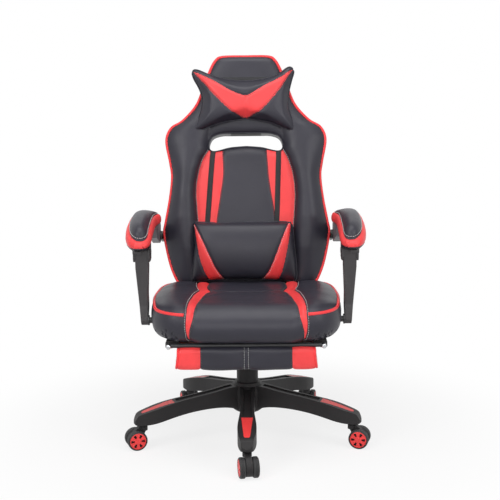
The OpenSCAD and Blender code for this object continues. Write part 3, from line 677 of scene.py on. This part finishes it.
# ---- elastic straps
def ribbon(path, out, width=.017, thick=.0014):
    """Flat strap along a path; "out" is the normal of what it lies on."""
    path, out = np.asarray(path, float), np.asarray(out, float)
    across = unit(np.cross(unit(np.gradient(path, axis=0)), out))
    section = [(-.5, .15), (-.47, 1), (0, 1.15), (.47, 1), (.5, .15), (0, 0)]
    verts, faces = [], []
    for p, n, a in zip(path, out, across):
        verts += [p + a * width * w + n * thick * h for w, h in section]
    k = len(section)
    last = (len(path) - 1) * k
    for a in range(0, last, k):
        faces += ring_faces(a, a + k, k)
    faces += [tuple(range(k)), tuple(last + j for j in range(k))[::-1]]
    return verts, faces


def strap(name, ribbons, node):
    """Ribbons as one piece that stands for a strap's CAD node and rides where that rides."""
    o = make(name, *join_parts(ribbons), [STRAP], None, frame["nodes"][node]["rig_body"], "webbing")
    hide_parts(node)


def build_lumbar_straps(cover):
    """The lumbar pillow's two straps: up the back's front, over the sill, down behind."""
    sill = WINDOW[WINDOW[:, 1] < .5]
    sill = sill[sill[:, 0].argsort()]
    foot = .235    # they come out from behind the pillow here
    ribbons = []
    for foot_x, x in ((-.1275, -.1075), (.0985, .1065)):
        top = np.interp(x, sill[:, 0], sill[:, 1])
        s = np.linspace(foot, top - .004, 40)
        flat = np.stack([np.interp(s, [foot, top], [foot_x, x]), s], axis=1)
        path, out = list(cover.at(flat, .0006)), list(cover.normal(flat))
        # rows of n, s and the outward direction there, along n and s
        for n, at, a, b in ((FRONT_N - .0065, top - .0005, -.8, .6),
                            (FRONT_N + .002, top + .0012, -.2, 1), (.015, top + .0012, 0, 1),
                            (REAR_N - .002, top + .0012, .2, 1),
                            (REAR_N + .0040, top - .002, .8, .6),
                            (REAR_N + .0050, top - .010, 1, 0), (REAR_N + .0050, .420, 1, 0),
                            (REAR_N + .0045, .340, 1, 0)):
            path.append(in_back(x, n, at))
            out.append((THROUGH * a + UP * b) / math.hypot(a, b))
        ribbons.append(ribbon(path, out))
    strap("lumbar_webbing", ribbons, "lumbar_straps")


def build_head_strap(cover):
    """The neck cushion's strap: one flat loop round the headrest, at one height."""
    s = .7025
    edge = np.interp(s, HALF_CURVE[:, 1], HALF_CURVE[:, 0])
    xs = np.linspace(-edge + .004, edge - .004, 28)
    flat = np.stack([xs, np.full(len(xs), s)], axis=1)
    path, out = list(cover.at(flat, .0006)), list(cover.normal(flat))
    side, deep = edge + .0065, REAR_N + .0050
    # rows of x, n and the outward direction there, along x and n
    turn = [(edge + .0045, FRONT_N - .003, .8, -.6), (side, FRONT_N + .006, 1, 0),
            (side, .015, 1, 0), (side - .001, REAR_N - .010, 1, .1),
            (edge - .004, deep - .001, .5, .9), (edge - .020, deep, 0, 1), (.05, deep, 0, 1),
            (0, deep, 0, 1)]
    for x, n, a, b in turn + [(-x, n, -a, b) for x, n, a, b in turn[-2::-1]]:
        path.append(in_back(x, n, s))
        out.append((ACROSS * a + THROUGH * b) / math.hypot(a, b))
    strap("head_webbing", [ribbon(path + path[:1], out + out[:1], width=.024)], "head_strap")


# ---- seat
SEAT_HALF = [(0, -.277), (.110, -.2765), (.190, -.270), (.233, -.246), (.2615, -.204),
             (.2705, -.155), (.2765, -.100), (.2780, -.040), (.2765, .030), (.272, .100),
             (.262, .150), (.245, .180), (.225, .1915), (.200, .1945), (0, .1945)]
SEAT_OUT = eased(resample(mirrored(smooth_curve(SEAT_HALF, 8)), STEP, closed=True), 10)
SEAT_RING = SEAT_OUT - outward(SEAT_OUT) * .004
SEAT_N = outward(SEAT_RING)
SEAT_TOP = SEAT_HI[2] - .001
SEAT_FOOT = SEAT_LO[2] - .003
SEAT_REACH, SEAT_FALL = .094, .0765    # how far the pattern goes past the welt, and how far down
ROLL_START = -.089    # where the rolled front begins, inside the wall's widest point
# (distance out from the welt, offset, height below or above the welt)
SEAT_SIDE = profile([(0, 0, 0), (.010, .0035, -.010), (.022, .0062, -.022), (.036, .0066, -.036),
                     (.052, .0036, -.052), (.066, -.0040, -.064), (.080, -.0150, -.0725),
                     (SEAT_REACH, -.029, -SEAT_FALL)])
# (distance, offset, height) of the rolled front, measured from the wall's widest point
SEAT_ROLL = profile([(-.090, -.090, .4640), (-.070, -.070, .4648), (-.052, -.0525, .4636),
                     (-.036, -.0375, .4590), (-.020, -.0235, .4505), (-.006, -.0115, .4395),
                     (.008, -.0020, .4265), (.022, .0035, .4120), (.036, .0050, .3985),
                     (.052, .0030, .3838), (.066, -.0045, .3722), (.080, -.0165, .3658),
                     (SEAT_REACH, -.030, .3630)])
STRIPE_OUT = [(.163, .190), (.1615, .138), (.158, .072), (.1500, .020), (.1465, .001),
              (.1500, -.020), (.1575, -.055), (.1625, -.090), (.1680, -.160), (.1705, -.220),
              (.1715, -.262)]
STRIPE_IN = [(.124, .190), (.1245, .138), (.1270, .080), (.1240, .040), (.1130, -.008),
             (.1120, -.020), (.1230, -.052), (.1310, -.086), (.1400, -.150), (.1475, -.220),
             (.1510, -.262)]


def rear_drop(y):
    """How far the cushion falls away towards the backrest."""
    return np.interp(y, [-.06, .19], [0, .0080])


def welt_height(y):
    """Height of the welt along the seat's side."""
    return np.interp(y, [-.27, -.20, -.10, .20], [.4455, .4475, .4545, .4560]) - rear_drop(y)


def seat_form(p):
    """The seat before its seams are drawn in; pattern points past the welt go down the walls."""
    q, n, d = nearest(SEAT_RING, SEAT_N, p)
    welt = welt_height(q[:, 1])
    off_s, fall = SEAT_SIDE(np.maximum(d, 0))
    inner = np.minimum(d, 0)
    x = np.abs(p[:, 0])
    rise = (SEAT_TOP - rear_drop(p[:, 1]) - welt) * (1 - np.exp(inner / .022))
    bolster = .0035 * np.exp(-((x - .215) / .05) ** 2) - .0035 * np.exp(-(x / .10) ** 2)
    z_side = np.where(d > 0, welt + fall * (welt - SEAT_FOOT) / SEAT_FALL,
                      welt + rise + bolster * (1 - np.exp(inner / .02)))
    off_s = np.where(d > 0, off_s, d)
    off_r, z_r = SEAT_ROLL(d)
    off_r = np.where(d < ROLL_START, d, off_r)
    z_r = np.where(d < ROLL_START, SEAT_TOP - .003, z_r)
    # the front is rolled between the corners, and blends into the sides' sharp edge
    t = np.clip((.168 - np.abs(q[:, 0])) / .040, 0, 1) * (q[:, 1] < -.2)
    w = t * t * (3 - 2 * t)
    off = off_s * (1 - w) + off_r * w
    z = z_side * (1 - w) + z_r * w
    xy = q + n * off[:, None]
    # the foam gives way above the grip of the recline lever
    near = np.exp(-((xy[:, 0] + .238) / .024) ** 4 - ((xy[:, 1] - .130) / .080) ** 4)
    return np.column_stack([xy, z + near * np.clip(.378 - z, 0, .02) * .8])


def on_wall(x, depth):
    """Pattern point of the seat's front wall at width x, so far below the welt."""
    is_front = SEAT_RING[:, 1] < -.2
    front, facing = SEAT_RING[is_front], SEAT_N[is_front]
    order = front[:, 0].argsort()
    q = np.array([x, np.interp(x, front[order, 0], front[order, 1])])
    n = np.array([np.interp(x, front[order, 0], facing[order, i]) for i in (0, 1)])
    return q + n / np.linalg.norm(n) * depth


def build_seat():
    """The cover with its two stripes, the welt round it and the stitching."""
    outline = SEAT_RING + SEAT_N * SEAT_REACH
    # the stripes go on down the front wall: (x, depth below the welt)
    wall_out = [(.1720, .004), (.1730, .025), (.1718, .050), (.1690, .075), (.1655, .0935)]
    wall_in = [(.1530, .004), (.1590, .025), (.1645, .050), (.1660, .075), (.1645, .0935)]
    lines = []
    for wide in (-.978, 1):
        for top, wall in ((STRIPE_OUT, wall_out), (STRIPE_IN, wall_in)):
            points = [(wide * x, y) for x, y in top]
            points += [tuple(on_wall(wide * x, d)) for x, d in wall]
            lines.append(smooth_curve(points, 6))
    cross = smooth_curve([(-.1135, -.008), (-.08, -.020), (0, -.025), (.08, -.020),
                          (.1135, -.008)], 10)
    cover = Sheet(outline, seat_form, lines + [cross], [], STEP, seed=11.0, groove=.0030,
                  puff=.0042, reach=.011, slack=.0018)
    stripes = [np.vstack([a, b[::-1]]) for a, b in zip(lines[::2], lines[1::2])]
    index = np.any([inside(ring, cover.mid) for ring in stripes], axis=0).astype(int)
    foot = seat_form(outline)
    centre = foot.mean(axis=0)
    centre[2] = .3700    # the underside is drawn up to this height
    inner = centre + (foot - centre) * .5
    inner[:, 2] = centre[2]
    upholstery("seat_upholstery", [cover.skin(outline), underside(foot, inner, centre)], index,
               "seat", "seat_cushion")

    # the welt runs from one stripe round the sides to the other, but not behind the backrest's foot
    first, last = (int(np.argmin(np.hypot(SEAT_RING[:, 0] - x, SEAT_RING[:, 1] + .266)))
                   for x in (.1725, -.1725))
    flat, facing = SEAT_RING[first:last + 1], SEAT_N[first:last + 1]
    welt = seat_form(flat) + np.column_stack([facing * .0014, np.zeros(len(flat))])
    welt[:, 2] += .0022
    hidden = np.nonzero((flat[:, 1] >= .15) & (np.abs(flat[:, 0]) <= .205))[0]
    piping("seat_welt", [welt[:hidden[0]], welt[hidden[-1] + 1:]], .0048, "seat", red=True,
           closed=False, sides=12)
    thread("seat_stitching", cover.stitch_beside(lines[::2], (.0034, -.0034)), THREAD_GREY, "seat")
    rows = [cover.stitch(cross + [0, -.0035], length=.0042)]
    rows += cover.stitch_beside(lines[1::2], (-.0032, .0032))
    thread("seat_panel_stitching", rows, THREAD_DARK, "seat")


# ---- loose cushions, swollen as cloth
CLOTH = {"quality": 7, "mass": .18, "tension_stiffness": 28, "compression_stiffness": 28,
         "shear_stiffness": 14, "bending_stiffness": 1.1, "use_pressure": True,
         "uniform_pressure_force": 4.0, "shrink_min": -.01}
CLOTH_FRAMES = 20


def swell(o, cap):
    """Runs cloth under inner pressure on a closed mesh and keeps the result, each move capped."""
    start = np.array([v.co for v in o.data.vertices])
    cloth = o.modifiers.new("cloth", "CLOTH")
    for key, value in CLOTH.items():
        setattr(cloth.settings, key, value)
    cloth.settings.effector_weights.gravity = 0
    cloth.point_cache.frame_start, cloth.point_cache.frame_end = 1, CLOTH_FRAMES
    scene = bpy.context.scene
    for f in range(1, CLOTH_FRAMES + 1):
        scene.frame_set(f)
    dg = bpy.context.evaluated_depsgraph_get()
    moved = np.array([v.co for v in o.evaluated_get(dg).data.vertices])
    o.modifiers.remove(cloth)
    scene.frame_set(1)
    d = moved - start
    r = np.linalg.norm(d, axis=1)
    k = np.where(r > 1e-9, cap * np.tanh(r / cap) / np.maximum(r, 1e-9), 0)
    o.data.vertices.foreach_set("co", (start + d * k[:, None]).ravel())
    o.data.update()


def build_pillow(name, node, outline, lines, red, thick, place, edge, cap, stitched, material):
    """A stuffed cushion of two sheets, with piping round it and stitching beside its seams.

    "lines" are its seams, "red" the pairs of them with a red panel between, "stitched" those
    with stitches beside them and how far. "thick" gives each sheet's rise, reached at "edge"
    from the rim, and "place" puts it in the room. "cap" limits how far the cloth may swell.
    """
    step = .0052
    lines = [smooth_curve(c, 10) for c in lines]
    ring = resample(smooth_curve(outline, 8, closed=True), step, closed=True)
    seams = [resample(c, step) for c in lines]
    pts, tris = triangulate(ring, [], seams, step)
    d = distance_to([closed_line(ring)], pts)
    dome = np.sqrt(np.clip(1 - (1 - np.clip(d / edge, 0, 1)) ** 2, 0, 1))
    rise_f, rise_b = thick(pts)
    verts = np.vstack([place(pts, rise_f * dome), place(pts, -rise_b * dome)])
    # the rear sheet shares the front sheet's rim
    ids = np.arange(len(pts))
    back_ids = np.where(d < 1e-5, ids, ids + len(pts))
    faces = np.vstack([tris, back_ids[tris][:, ::-1]])
    used = np.zeros(len(verts), bool)
    used[faces] = True
    new = np.cumsum(used) - 1
    mid = pts[tris].mean(axis=1)
    panels = [np.vstack([lines[a], lines[b][::-1]]) for a, b in red]
    index = np.any([inside(ring, mid) for ring in panels], axis=0).astype(int)
    o = make(name, verts[used], new[faces], [BLUE_SHEEN_BLACK, RED], np.r_[index, np.zeros(len(tris), int)],
             node, "black_leather")
    tidy(o, merge=.00005)
    swell(o, cap)
    # the seams are drawn in, only on the front sheet
    ds = distance_to(seams, pts)
    co = np.array([v.co for v in o.data.vertices])
    no = np.array([v.normal for v in o.data.vertices])
    pull = .0026 * np.exp(-(ds / .0030) ** 2) - .0022 * (1 - np.exp(-ds / .010)) * np.exp(-ds / .03)
    co[:len(pts)] -= no[:len(pts)] * pull[:, None]
    o.data.vertices.foreach_set("co", co.ravel())
    o.data.update()
    sub = o.modifiers.new("smooth", "SUBSURF")
    sub.levels = sub.render_levels = 1
    dg = bpy.context.evaluated_depsgraph_get()
    fine = bpy.data.meshes.new_from_object(o.evaluated_get(dg))
    o.modifiers.remove(sub)
    o.data = fine
    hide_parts(node)
    rim = [int(np.argmin(np.hypot(*(pts - p).T))) for p in ring]
    piping(name + "_edge", [co[rim]], .0020, node)
    rows = []
    for line, by in stitched:
        path, out = [], []
        for p in resample(beside(lines[line], by), .004):
            # between the nearest four points of the front sheet
            r = np.hypot(*(pts - p).T)
            j = np.argsort(r)[:4]
            g = 1 / (r[j] + 1e-5)
            path.append((co[j] * g[:, None]).sum(0) / g.sum())
            out.append((no[j] * g[:, None]).sum(0) / g.sum())
        rows.append(stitches(path, np.array(out)))
    thread(name + "_stitching", rows, material, node)


def build_neck_cushion():
    """Bow-shaped head pillow with a red chevron, parted down its middle."""
    outline = [(0, .568), (.060, .5615), (.120, .545), (.152, .537), (.163, .541), (.161, .566),
               (.150, .610), (.1485, .655), (.156, .700), (.1625, .733), (.152, .7465),
               (.134, .742), (.110, .729), (.060, .716), (0, .711), (-.060, .716), (-.115, .729),
               (-.158, .742), (-.1745, .7385), (-.172, .715), (-.158, .680), (-.150, .650),
               (-.152, .615), (-.164, .572), (-.1765, .545), (-.168, .5365), (-.145, .540),
               (-.110, .549), (-.060, .5615)]
    upper = [(-.1735, .7375), (-.1155, .7100), (-.0525, .6685), (-.010, .6500), (0, .6488),
             (.010, .6500), (.048, .6735), (.0987, .7065), (.1600, .7380)]
    lower = [(-.1735, .7375), (-.1407, .6960), (-.0945, .6465), (-.040, .5930), (-.012, .5715),
             (0, .5690), (.012, .5715), (.048, .5985), (.0987, .6540), (.1365, .7035),
             (.1600, .7380)]
    middle = [(0, .6488), (0, .610), (0, .5690)]

    def thick(p):
        fade = np.clip(1 - (np.abs(p[:, 0]) / .19) ** 3, .25, 1)
        return .031 * fade, .017 * fade

    def place(p, rise):
        wrap = .006 * (p[:, 0] / .17) ** 2
        return in_back(p[:, 0], -.049 - rise + wrap, p[:, 1])

    build_pillow("neck_cushion", "head_pillow", outline, [upper, lower, middle], [(0, 1)], thick,
                 place, edge=.062, cap=.010, stitched=[(0, .003), (1, -.003)], material=THREAD_DARK)


def build_lumbar_cushion():
    """Low, wide pillow with a red stripe leaning outwards at each end."""
    outline = [(0, .0535), (.090, .0525), (.148, .0510), (.1605, .060), (.160, .105),
               (.155, .155), (.151, .196), (.147, .231), (.134, .2405), (.060, .2430), (0, .2435),
               (-.070, .2430), (-.150, .2430), (-.1710, .2385), (-.172, .198), (-.172, .157),
               (-.1765, .105), (-.179, .061), (-.168, .0515), (-.100, .0530)]
    left_out = [(-.1710, .2365), (-.1625, .194), (-.1550, .153), (-.1430, .104), (-.1200, .0540)]
    left_in = [(-.1690, .2370), (-.1465, .195), (-.1195, .137), (-.0990, .094), (-.0710, .0540)]
    right_out = [(.1450, .2350), (.1375, .195), (.1285, .148), (.1160, .093), (.1010, .0535)]
    right_in = [(.1350, .2385), (.1120, .184), (.0925, .132), (.0710, .084), (.0470, .0535)]

    def thick(p):
        off = p[:, 1] - .158
        across = np.clip(1 - (off / np.where(off > 0, .098, .118)) ** 2, 0, 1) ** .5
        ends = np.clip(1 - (np.abs(p[:, 0] + .01) / .21) ** 4, .2, 1)
        return .056 * across * ends, .017 * ends

    def place(p, rise):
        return in_back(p[:, 0], -.050 - rise, p[:, 1])

    build_pillow("lumbar_cushion", "lumbar_pillow", outline,
                 [left_out, left_in, right_out, right_in], [(0, 1), (2, 3)], thick, place,
                 edge=.020, cap=.008, stitched=[(1, .003), (3, -.003)], material=THREAD_GREY)


# ---- arm pads
ARM_PLAN = [(.352, .140), (.358, .090), (.357, -.020), (.353, -.100), (.3455, -.150),
            (.328, -.185), (.3065, -.196), (.286, -.186), (.2755, -.155), (.2760, -.095),
            (.279, .020), (.279, .090), (.271, .126), (.274, .148), (.309, .154)]
# heights along the pad, as (y, z): crown, edge of the top panel, foot of the red band, underside
ARM_CROWN = smooth_curve([(-.196, .678), (-.160, .687), (-.120, .6955), (-.060, .704), (0, .7078),
                          (.080, .7040), (.130, .6955), (.154, .689)], 6)
ARM_SEAM = smooth_curve([(-.182, .6440), (-.150, .6540), (-.100, .6690), (0, .6800), (.100, .6850),
                         (.154, .6860)], 6)
ARM_FOOT = smooth_curve([(-.196, .6250), (-.160, .6295), (-.100, .6415), (0, .6510), (.100, .6560),
                         (.154, .6600)], 6)
ARM_UNDER = smooth_curve([(-.196, .6195), (-.165, .6160), (-.142, .6210), (-.120, .634),
                          (-.060, .649), (.020, .655), (.100, .654), (.154, .657)], 8)
# widths on the pattern: the red band, the turned-in underside, the rounding of the top panel
ARM_BAND, ARM_TURN, ARM_DOME = .026, .020, .027


def band_room(normals, side):
    """How far the top panel stays inside the pad's outline, by the way that its edge faces."""
    across, along = normals[:, 0] * side, normals[:, 1]
    return (.0120 * np.maximum(across, 0) ** 2 + .0100 * np.minimum(across, 0) ** 2
            + np.where(along < 0, .0175, .010) * along ** 2)


def build_arm_pad(side, suffix):
    """Domed black top panel inside a rounded red band, on a bevelled black underside."""
    plan = eased(resample(smooth_curve(ARM_PLAN, 8, closed=True), .004, closed=True), 4) * [side, 1]
    facing = outward(plan)
    ring = resample(plan - facing * band_room(facing, side)[:, None], .004, closed=True)
    normals = outward(ring)

    def height(table, y):
        return np.interp(y, table[:, 0], table[:, 1])

    def form(p):
        q, n, d = nearest(ring, normals, p)
        turn = np.clip(-d / ARM_DOME, 0, 1) * math.pi / 2
        top = np.where((turn < math.pi / 2)[:, None],
                       q - n * (ARM_DOME * (1 - np.cos(turn)))[:, None], p)
        seam = height(ARM_SEAM, q[:, 1]) + .004 * np.maximum(n[:, 0] * side, 0) ** 2
        z_top = seam + (height(ARM_CROWN, top[:, 1]) - seam) * np.sin(turn) ** .9
        turn = np.clip(d / ARM_BAND, 0, 1) * math.pi / 2
        low = np.clip((d - ARM_BAND) / ARM_TURN, 0, 1)
        room = band_room(n, side)
        off = room * np.sin(turn) + .0018 * np.sin(2 * turn) - .013 * low ** 1.2
        edge_y = q[:, 1] + n[:, 1] * room
        foot = height(ARM_FOOT, edge_y)
        z_side = seam - (seam - foot) * (1 - np.cos(turn))
        z_side -= low * np.maximum(foot - height(ARM_UNDER, edge_y), .002)
        xy = np.where((d > 0)[:, None], q + n * off[:, None], top)
        return np.column_stack([xy, np.where(d > 0, z_side, z_top)])

    outline = ring + normals * (ARM_BAND + ARM_TURN)
    lower = closed_line(ring + normals * ARM_BAND)
    cover = Sheet(outline, form, [closed_line(ring), lower], [], .0042, seed=21.0 + side,
                  groove=.0012, puff=.0010, reach=.006, width=.0018, slack=.0006)
    _, _, d = nearest(ring, normals, cover.mid)
    index = ((d > 0) & (d < ARM_BAND)).astype(int)
    foot = form(outline)
    spine = foot * [0, 1, 1] + [side * .315, 0, 0]
    inner = spine * .6 + foot * .4
    body = "arm_" + suffix
    upholstery("arm_cover_" + suffix,
               [cover.skin(outline), underside(foot, inner, inner.mean(axis=0))], index, body,
               "arm_pad_" + suffix)
    piping("arm_welt_" + suffix, [cover.at(ring, .0002)], .0012, body)
    row = cover.stitch(closed_line(ring - normals * .0034), r=.0009, length=.0052, gap=.0018)
    thread("arm_stitching_" + suffix, [row], THREAD_GREY, body)


# ---- footrest pad
def build_footrest():
    """Padded plate with a black middle, parted by a narrow channel, and red ends."""
    (x0, y0, z0), (x1, y1, z1) = PAD_LO, PAD_HI
    half = (x1 - x0) / 2 - .0050
    cy, cz = (y0 + y1) / 2, (z0 + z1) / 2
    hy, hz = (y1 - y0) / 2, (z1 - z0) / 2
    red_from, channel = .131, .006
    xs = np.unique(np.r_[np.linspace(-half, half, 88), [-red_from, red_from, -channel, channel]])
    around = 64
    rings = []
    for x in xs:
        wide = abs(x) / half
        seam = min(abs(abs(x) - red_from), abs(abs(x) - channel))
        pull = .0022 * math.exp(-(seam / .0032) ** 2) - .0020 * (1 - math.exp(-seam / .02))
        close = .004 * math.exp(-(half - abs(x)) / .004)
        narrow = .0035 * wide ** 4
        flare = .008 * wide ** 6 * (1 if x > 0 else -1)    # the ends spread towards the foot
        ring = []
        for k in range(around):
            g = 2 * math.pi * k / around
            c, s = math.cos(g), math.sin(g)
            r = (abs(c) ** 5 + abs(s) ** 5) ** (-1 / 5)
            wave = noise.noise(Vector((x * 16, c * 1.5, s * 1.5))) * .0016
            ry = hy - .003 - pull - close + wave
            rz = hz - .002 - pull - close - narrow + wave
            ring.append((x + flare * max(-s, 0), cy + r * c * ry, cz + r * s * rz))
        rings.append(np.array(ring))
    verts, faces, index = [p for ring in rings for p in ring], [], []
    for i in range(len(xs) - 1):
        faces += ring_faces(i * around, (i + 1) * around, around)
        index += [int(abs((xs[i] + xs[i + 1]) / 2) > red_from)] * around
    # each end closes over two smaller rings and a middle point, bulging a little
    for i, facing in ((0, -1), (len(xs) - 1, 1)):
        centre = rings[i].mean(axis=0)
        a = i * around
        for size, out in ((.85, .0030), (.5, .0050)):
            b = len(verts)
            verts += [centre + (p - centre) * size + [facing * out, 0, 0] for p in rings[i]]
            faces += ring_faces(a, b, around)
            a = b
        verts.append(centre + [facing * .0055, 0, 0])
        faces += fan_faces(a, len(verts) - 1, around)
    index += [1] * (len(faces) - len(index))
    upholstery("footrest_cover", [(verts, faces)], index, "footrest_pad", "footrest_pad")
    piping("footrest_welt", [rings[0], rings[-1]], .0034, "footrest_pad", red=True, sides=10)
    for name, material, at in (
            ("footrest_stitching", THREAD_GREY, ((-channel, 0), (channel, 0))),
            ("footrest_seam_stitching", THREAD_DARK, ((-red_from, .0035), (red_from, -.0035)))):
        rows = []
        for x, aside in at:
            loop = rings[np.abs(xs - x).argmin()]
            out = unit((loop - loop.mean(axis=0)) * [0, 1, 1])
            path = loop + [aside, 0, 0] + out * .0012
            rows.append(stitches(closed_line(path), closed_line(out)))
        thread(name, rows, material, "footrest_pad")


back_cover = build_backrest()
build_lumbar_straps(back_cover)
build_head_strap(back_cover)
build_seat()
build_neck_cushion()
build_lumbar_cushion()
build_arm_pad(1, "left")
build_arm_pad(-1, "right")
build_footrest()


# ---- CAD nodes that keep their shape
def paint(node, material):
    slots = frame["nodes"][node].data.materials
    slots.clear()
    slots.append(material)


def paint_part(node, material, chosen):
    """Gives a second material to the faces of a node whose middles are chosen."""
    mesh = frame["nodes"][node].data
    mesh.materials.append(material)
    for face in mesh.polygons:
        if chosen(*face.center):
            face.material_index = 1


def on_lug(x, y, z):
    """The arm carrier's rear lug, behind and below its tray."""
    return .2812 < abs(x) < .3058 and y > .066 and (z < .6446 or y > .147)


def on_shaded_cross_bar(x, y, z):
    """The footrest's front bar, between its rails, where its chrome is given dark steel as painted
    shade under the seat's belly.
    """
    return abs(x) < .205 and y < BAR_FRONT + .03


def paint_all():
    looks = {
        SHADED_NYLON: ["star_base", "cover_lower", "cover_middle", "cover_upper", "tension_knob",
                "footrest_brackets"],
        ARM_NYLON: ["arm_frame_left", "arm_frame_right", "strut_left", "strut_right"],
        SHADED_TRIM: ["window_trim"],
        RED_PLASTIC: ["leg_inserts"],
        STEEL: ["lift_outer_tube", "mechanism_housing", "height_lever", "tilt_plate", "seat_frame",
                "recliner_seat_plates", "recliner_back_plates", "recline_lever", "back_frame",
                "arm_brackets", "strut_brackets"],
        CHROME: ["lift_piston_rod", "lift_inner_column", "footrest_frame"],
        STRAP: ["lumbar_straps", "head_strap"],
        BLUE_SHEEN_BLACK: ["seat_cushion", "footrest_pad", "lumbar_pillow", "head_pillow", "arm_pad_left",
                "arm_pad_right"],
    }
    for material, names in looks.items():
        for n in names:
            paint(n, material)
    for n in frame["nodes"]:
        if n.startswith("caster_"):
            paint(n, RED_PLASTIC if "_cap_" in n else RUBBER if "_wheel_" in n else SHADED_NYLON)
    # painted shade: the chrome bar's middle, under the seat's belly, is given the dark steel
    paint_part("footrest_frame", STEEL, on_shaded_cross_bar)
    paint_part("arm_frame_left", GREY_PLASTIC, on_lug)
    paint_part("arm_frame_right", GREY_PLASTIC, on_lug)


paint_all()


# ---- floor, light, camera
def seen_rays(tree):
    """1 for rays of the camera and for those mirrored or passed on to it, else 0."""
    path = tree.nodes.new("ShaderNodeLightPath").outputs
    seen = tree.calc("MAXIMUM", path["Is Camera Ray"], path["Is Glossy Ray"])
    return tree.calc("MAXIMUM", seen, path["Is Transmission Ray"])


def build_stage():
    """White floor that keeps a soft shadow near the chair, white surroundings, four softboxes."""
    m, tree, shader, vec = new_material("floor")
    tree.put(shader, {"Base Color": (.93, .93, .93, 1), "Roughness": .9, "Specular IOR Level": .1})
    white = tree.add("ShaderNodeEmission", {"Strength": 1.0})
    away = tree.add("ShaderNodeVectorMath", {0: vec}, operation="LENGTH")
    pale = tree.add("ShaderNodeMapRange",
                    {"Value": away.outputs["Value"], "From Min": .45, "From Max": 1.1,
                     "To Min": .80, "To Max": 1.0}, interpolation_type="SMOOTHSTEP")
    share = tree.calc("MULTIPLY", seen_rays(tree), pale.outputs["Result"])
    mix = tree.add("ShaderNodeMixShader", {"Fac": share, 1: shader.outputs["BSDF"],
                                           2: white.outputs["Emission"]})
    tree.put(tree.nodes["Material Output"], {"Surface": mix.outputs["Shader"]})
    floor = make("floor", [(-8, -8, 0), (8, -8, 0), (8, 8, 0), (-8, 8, 0)], [(0, 1, 2, 3)], [m])

    world = bpy.data.worlds.new("studio")
    bpy.context.scene.world = world
    tree = Tree(world)
    level = tree.span(seen_rays(tree), .13, 1.0)
    tree.put(tree.nodes["Background"], {"Color": (1, 1, 1, 1), "Strength": level})

    for name, place, target, size, power in (
            ("top", (0, -.7, 3.2), (0, 0, .6), (2.6, 2.0), 52),
            ("key", (-2.2, -2.4, 2.3), (0, 0, .7), (1.4, 1.8), 42),
            ("fill", (2.4, -2.2, 1.9), (0, 0, .7), (1.4, 1.8), 32),
            ("front", (0, -3.5, 1.75), (0, .2, .8), (2.2, 1.0), 23)):
        light = bpy.data.lights.new(name, "AREA")
        light.shape = "RECTANGLE"
        light.size, light.size_y = size
        light.energy = power
        o = add_object(name, light)
        o.location = place
        o.rotation_euler = (Vector(target) - Vector(place)).to_track_quat("-Z", "Y").to_euler()


def build_camera():
    """Long lens in front of the chair, a little above the arms, tipped down."""
    distance, height, aside = 3.10, 1.08, .030
    behind = .30    # it is turned towards a point so far behind the column
    pitch, roll = math.radians(9), math.radians(-.58)
    cam = bpy.data.cameras.new("camera")
    cam.sensor_width = 36
    cam.lens = 74.088
    cam.shift_x = .006
    o = add_object("camera", cam)
    o.location = (aside, -distance, height)
    turned = Matrix.Rotation(math.atan(aside / (distance + behind)), 3, "Z")
    tipped = Matrix.Rotation(math.pi / 2 - pitch, 3, "X")
    o.rotation_euler = (turned @ tipped @ Matrix.Rotation(roll, 3, "Z")).to_euler()
    bpy.context.scene.camera = o


build_stage()
build_camera()
bpy.context.scene.view_settings.view_transform = "Standard"
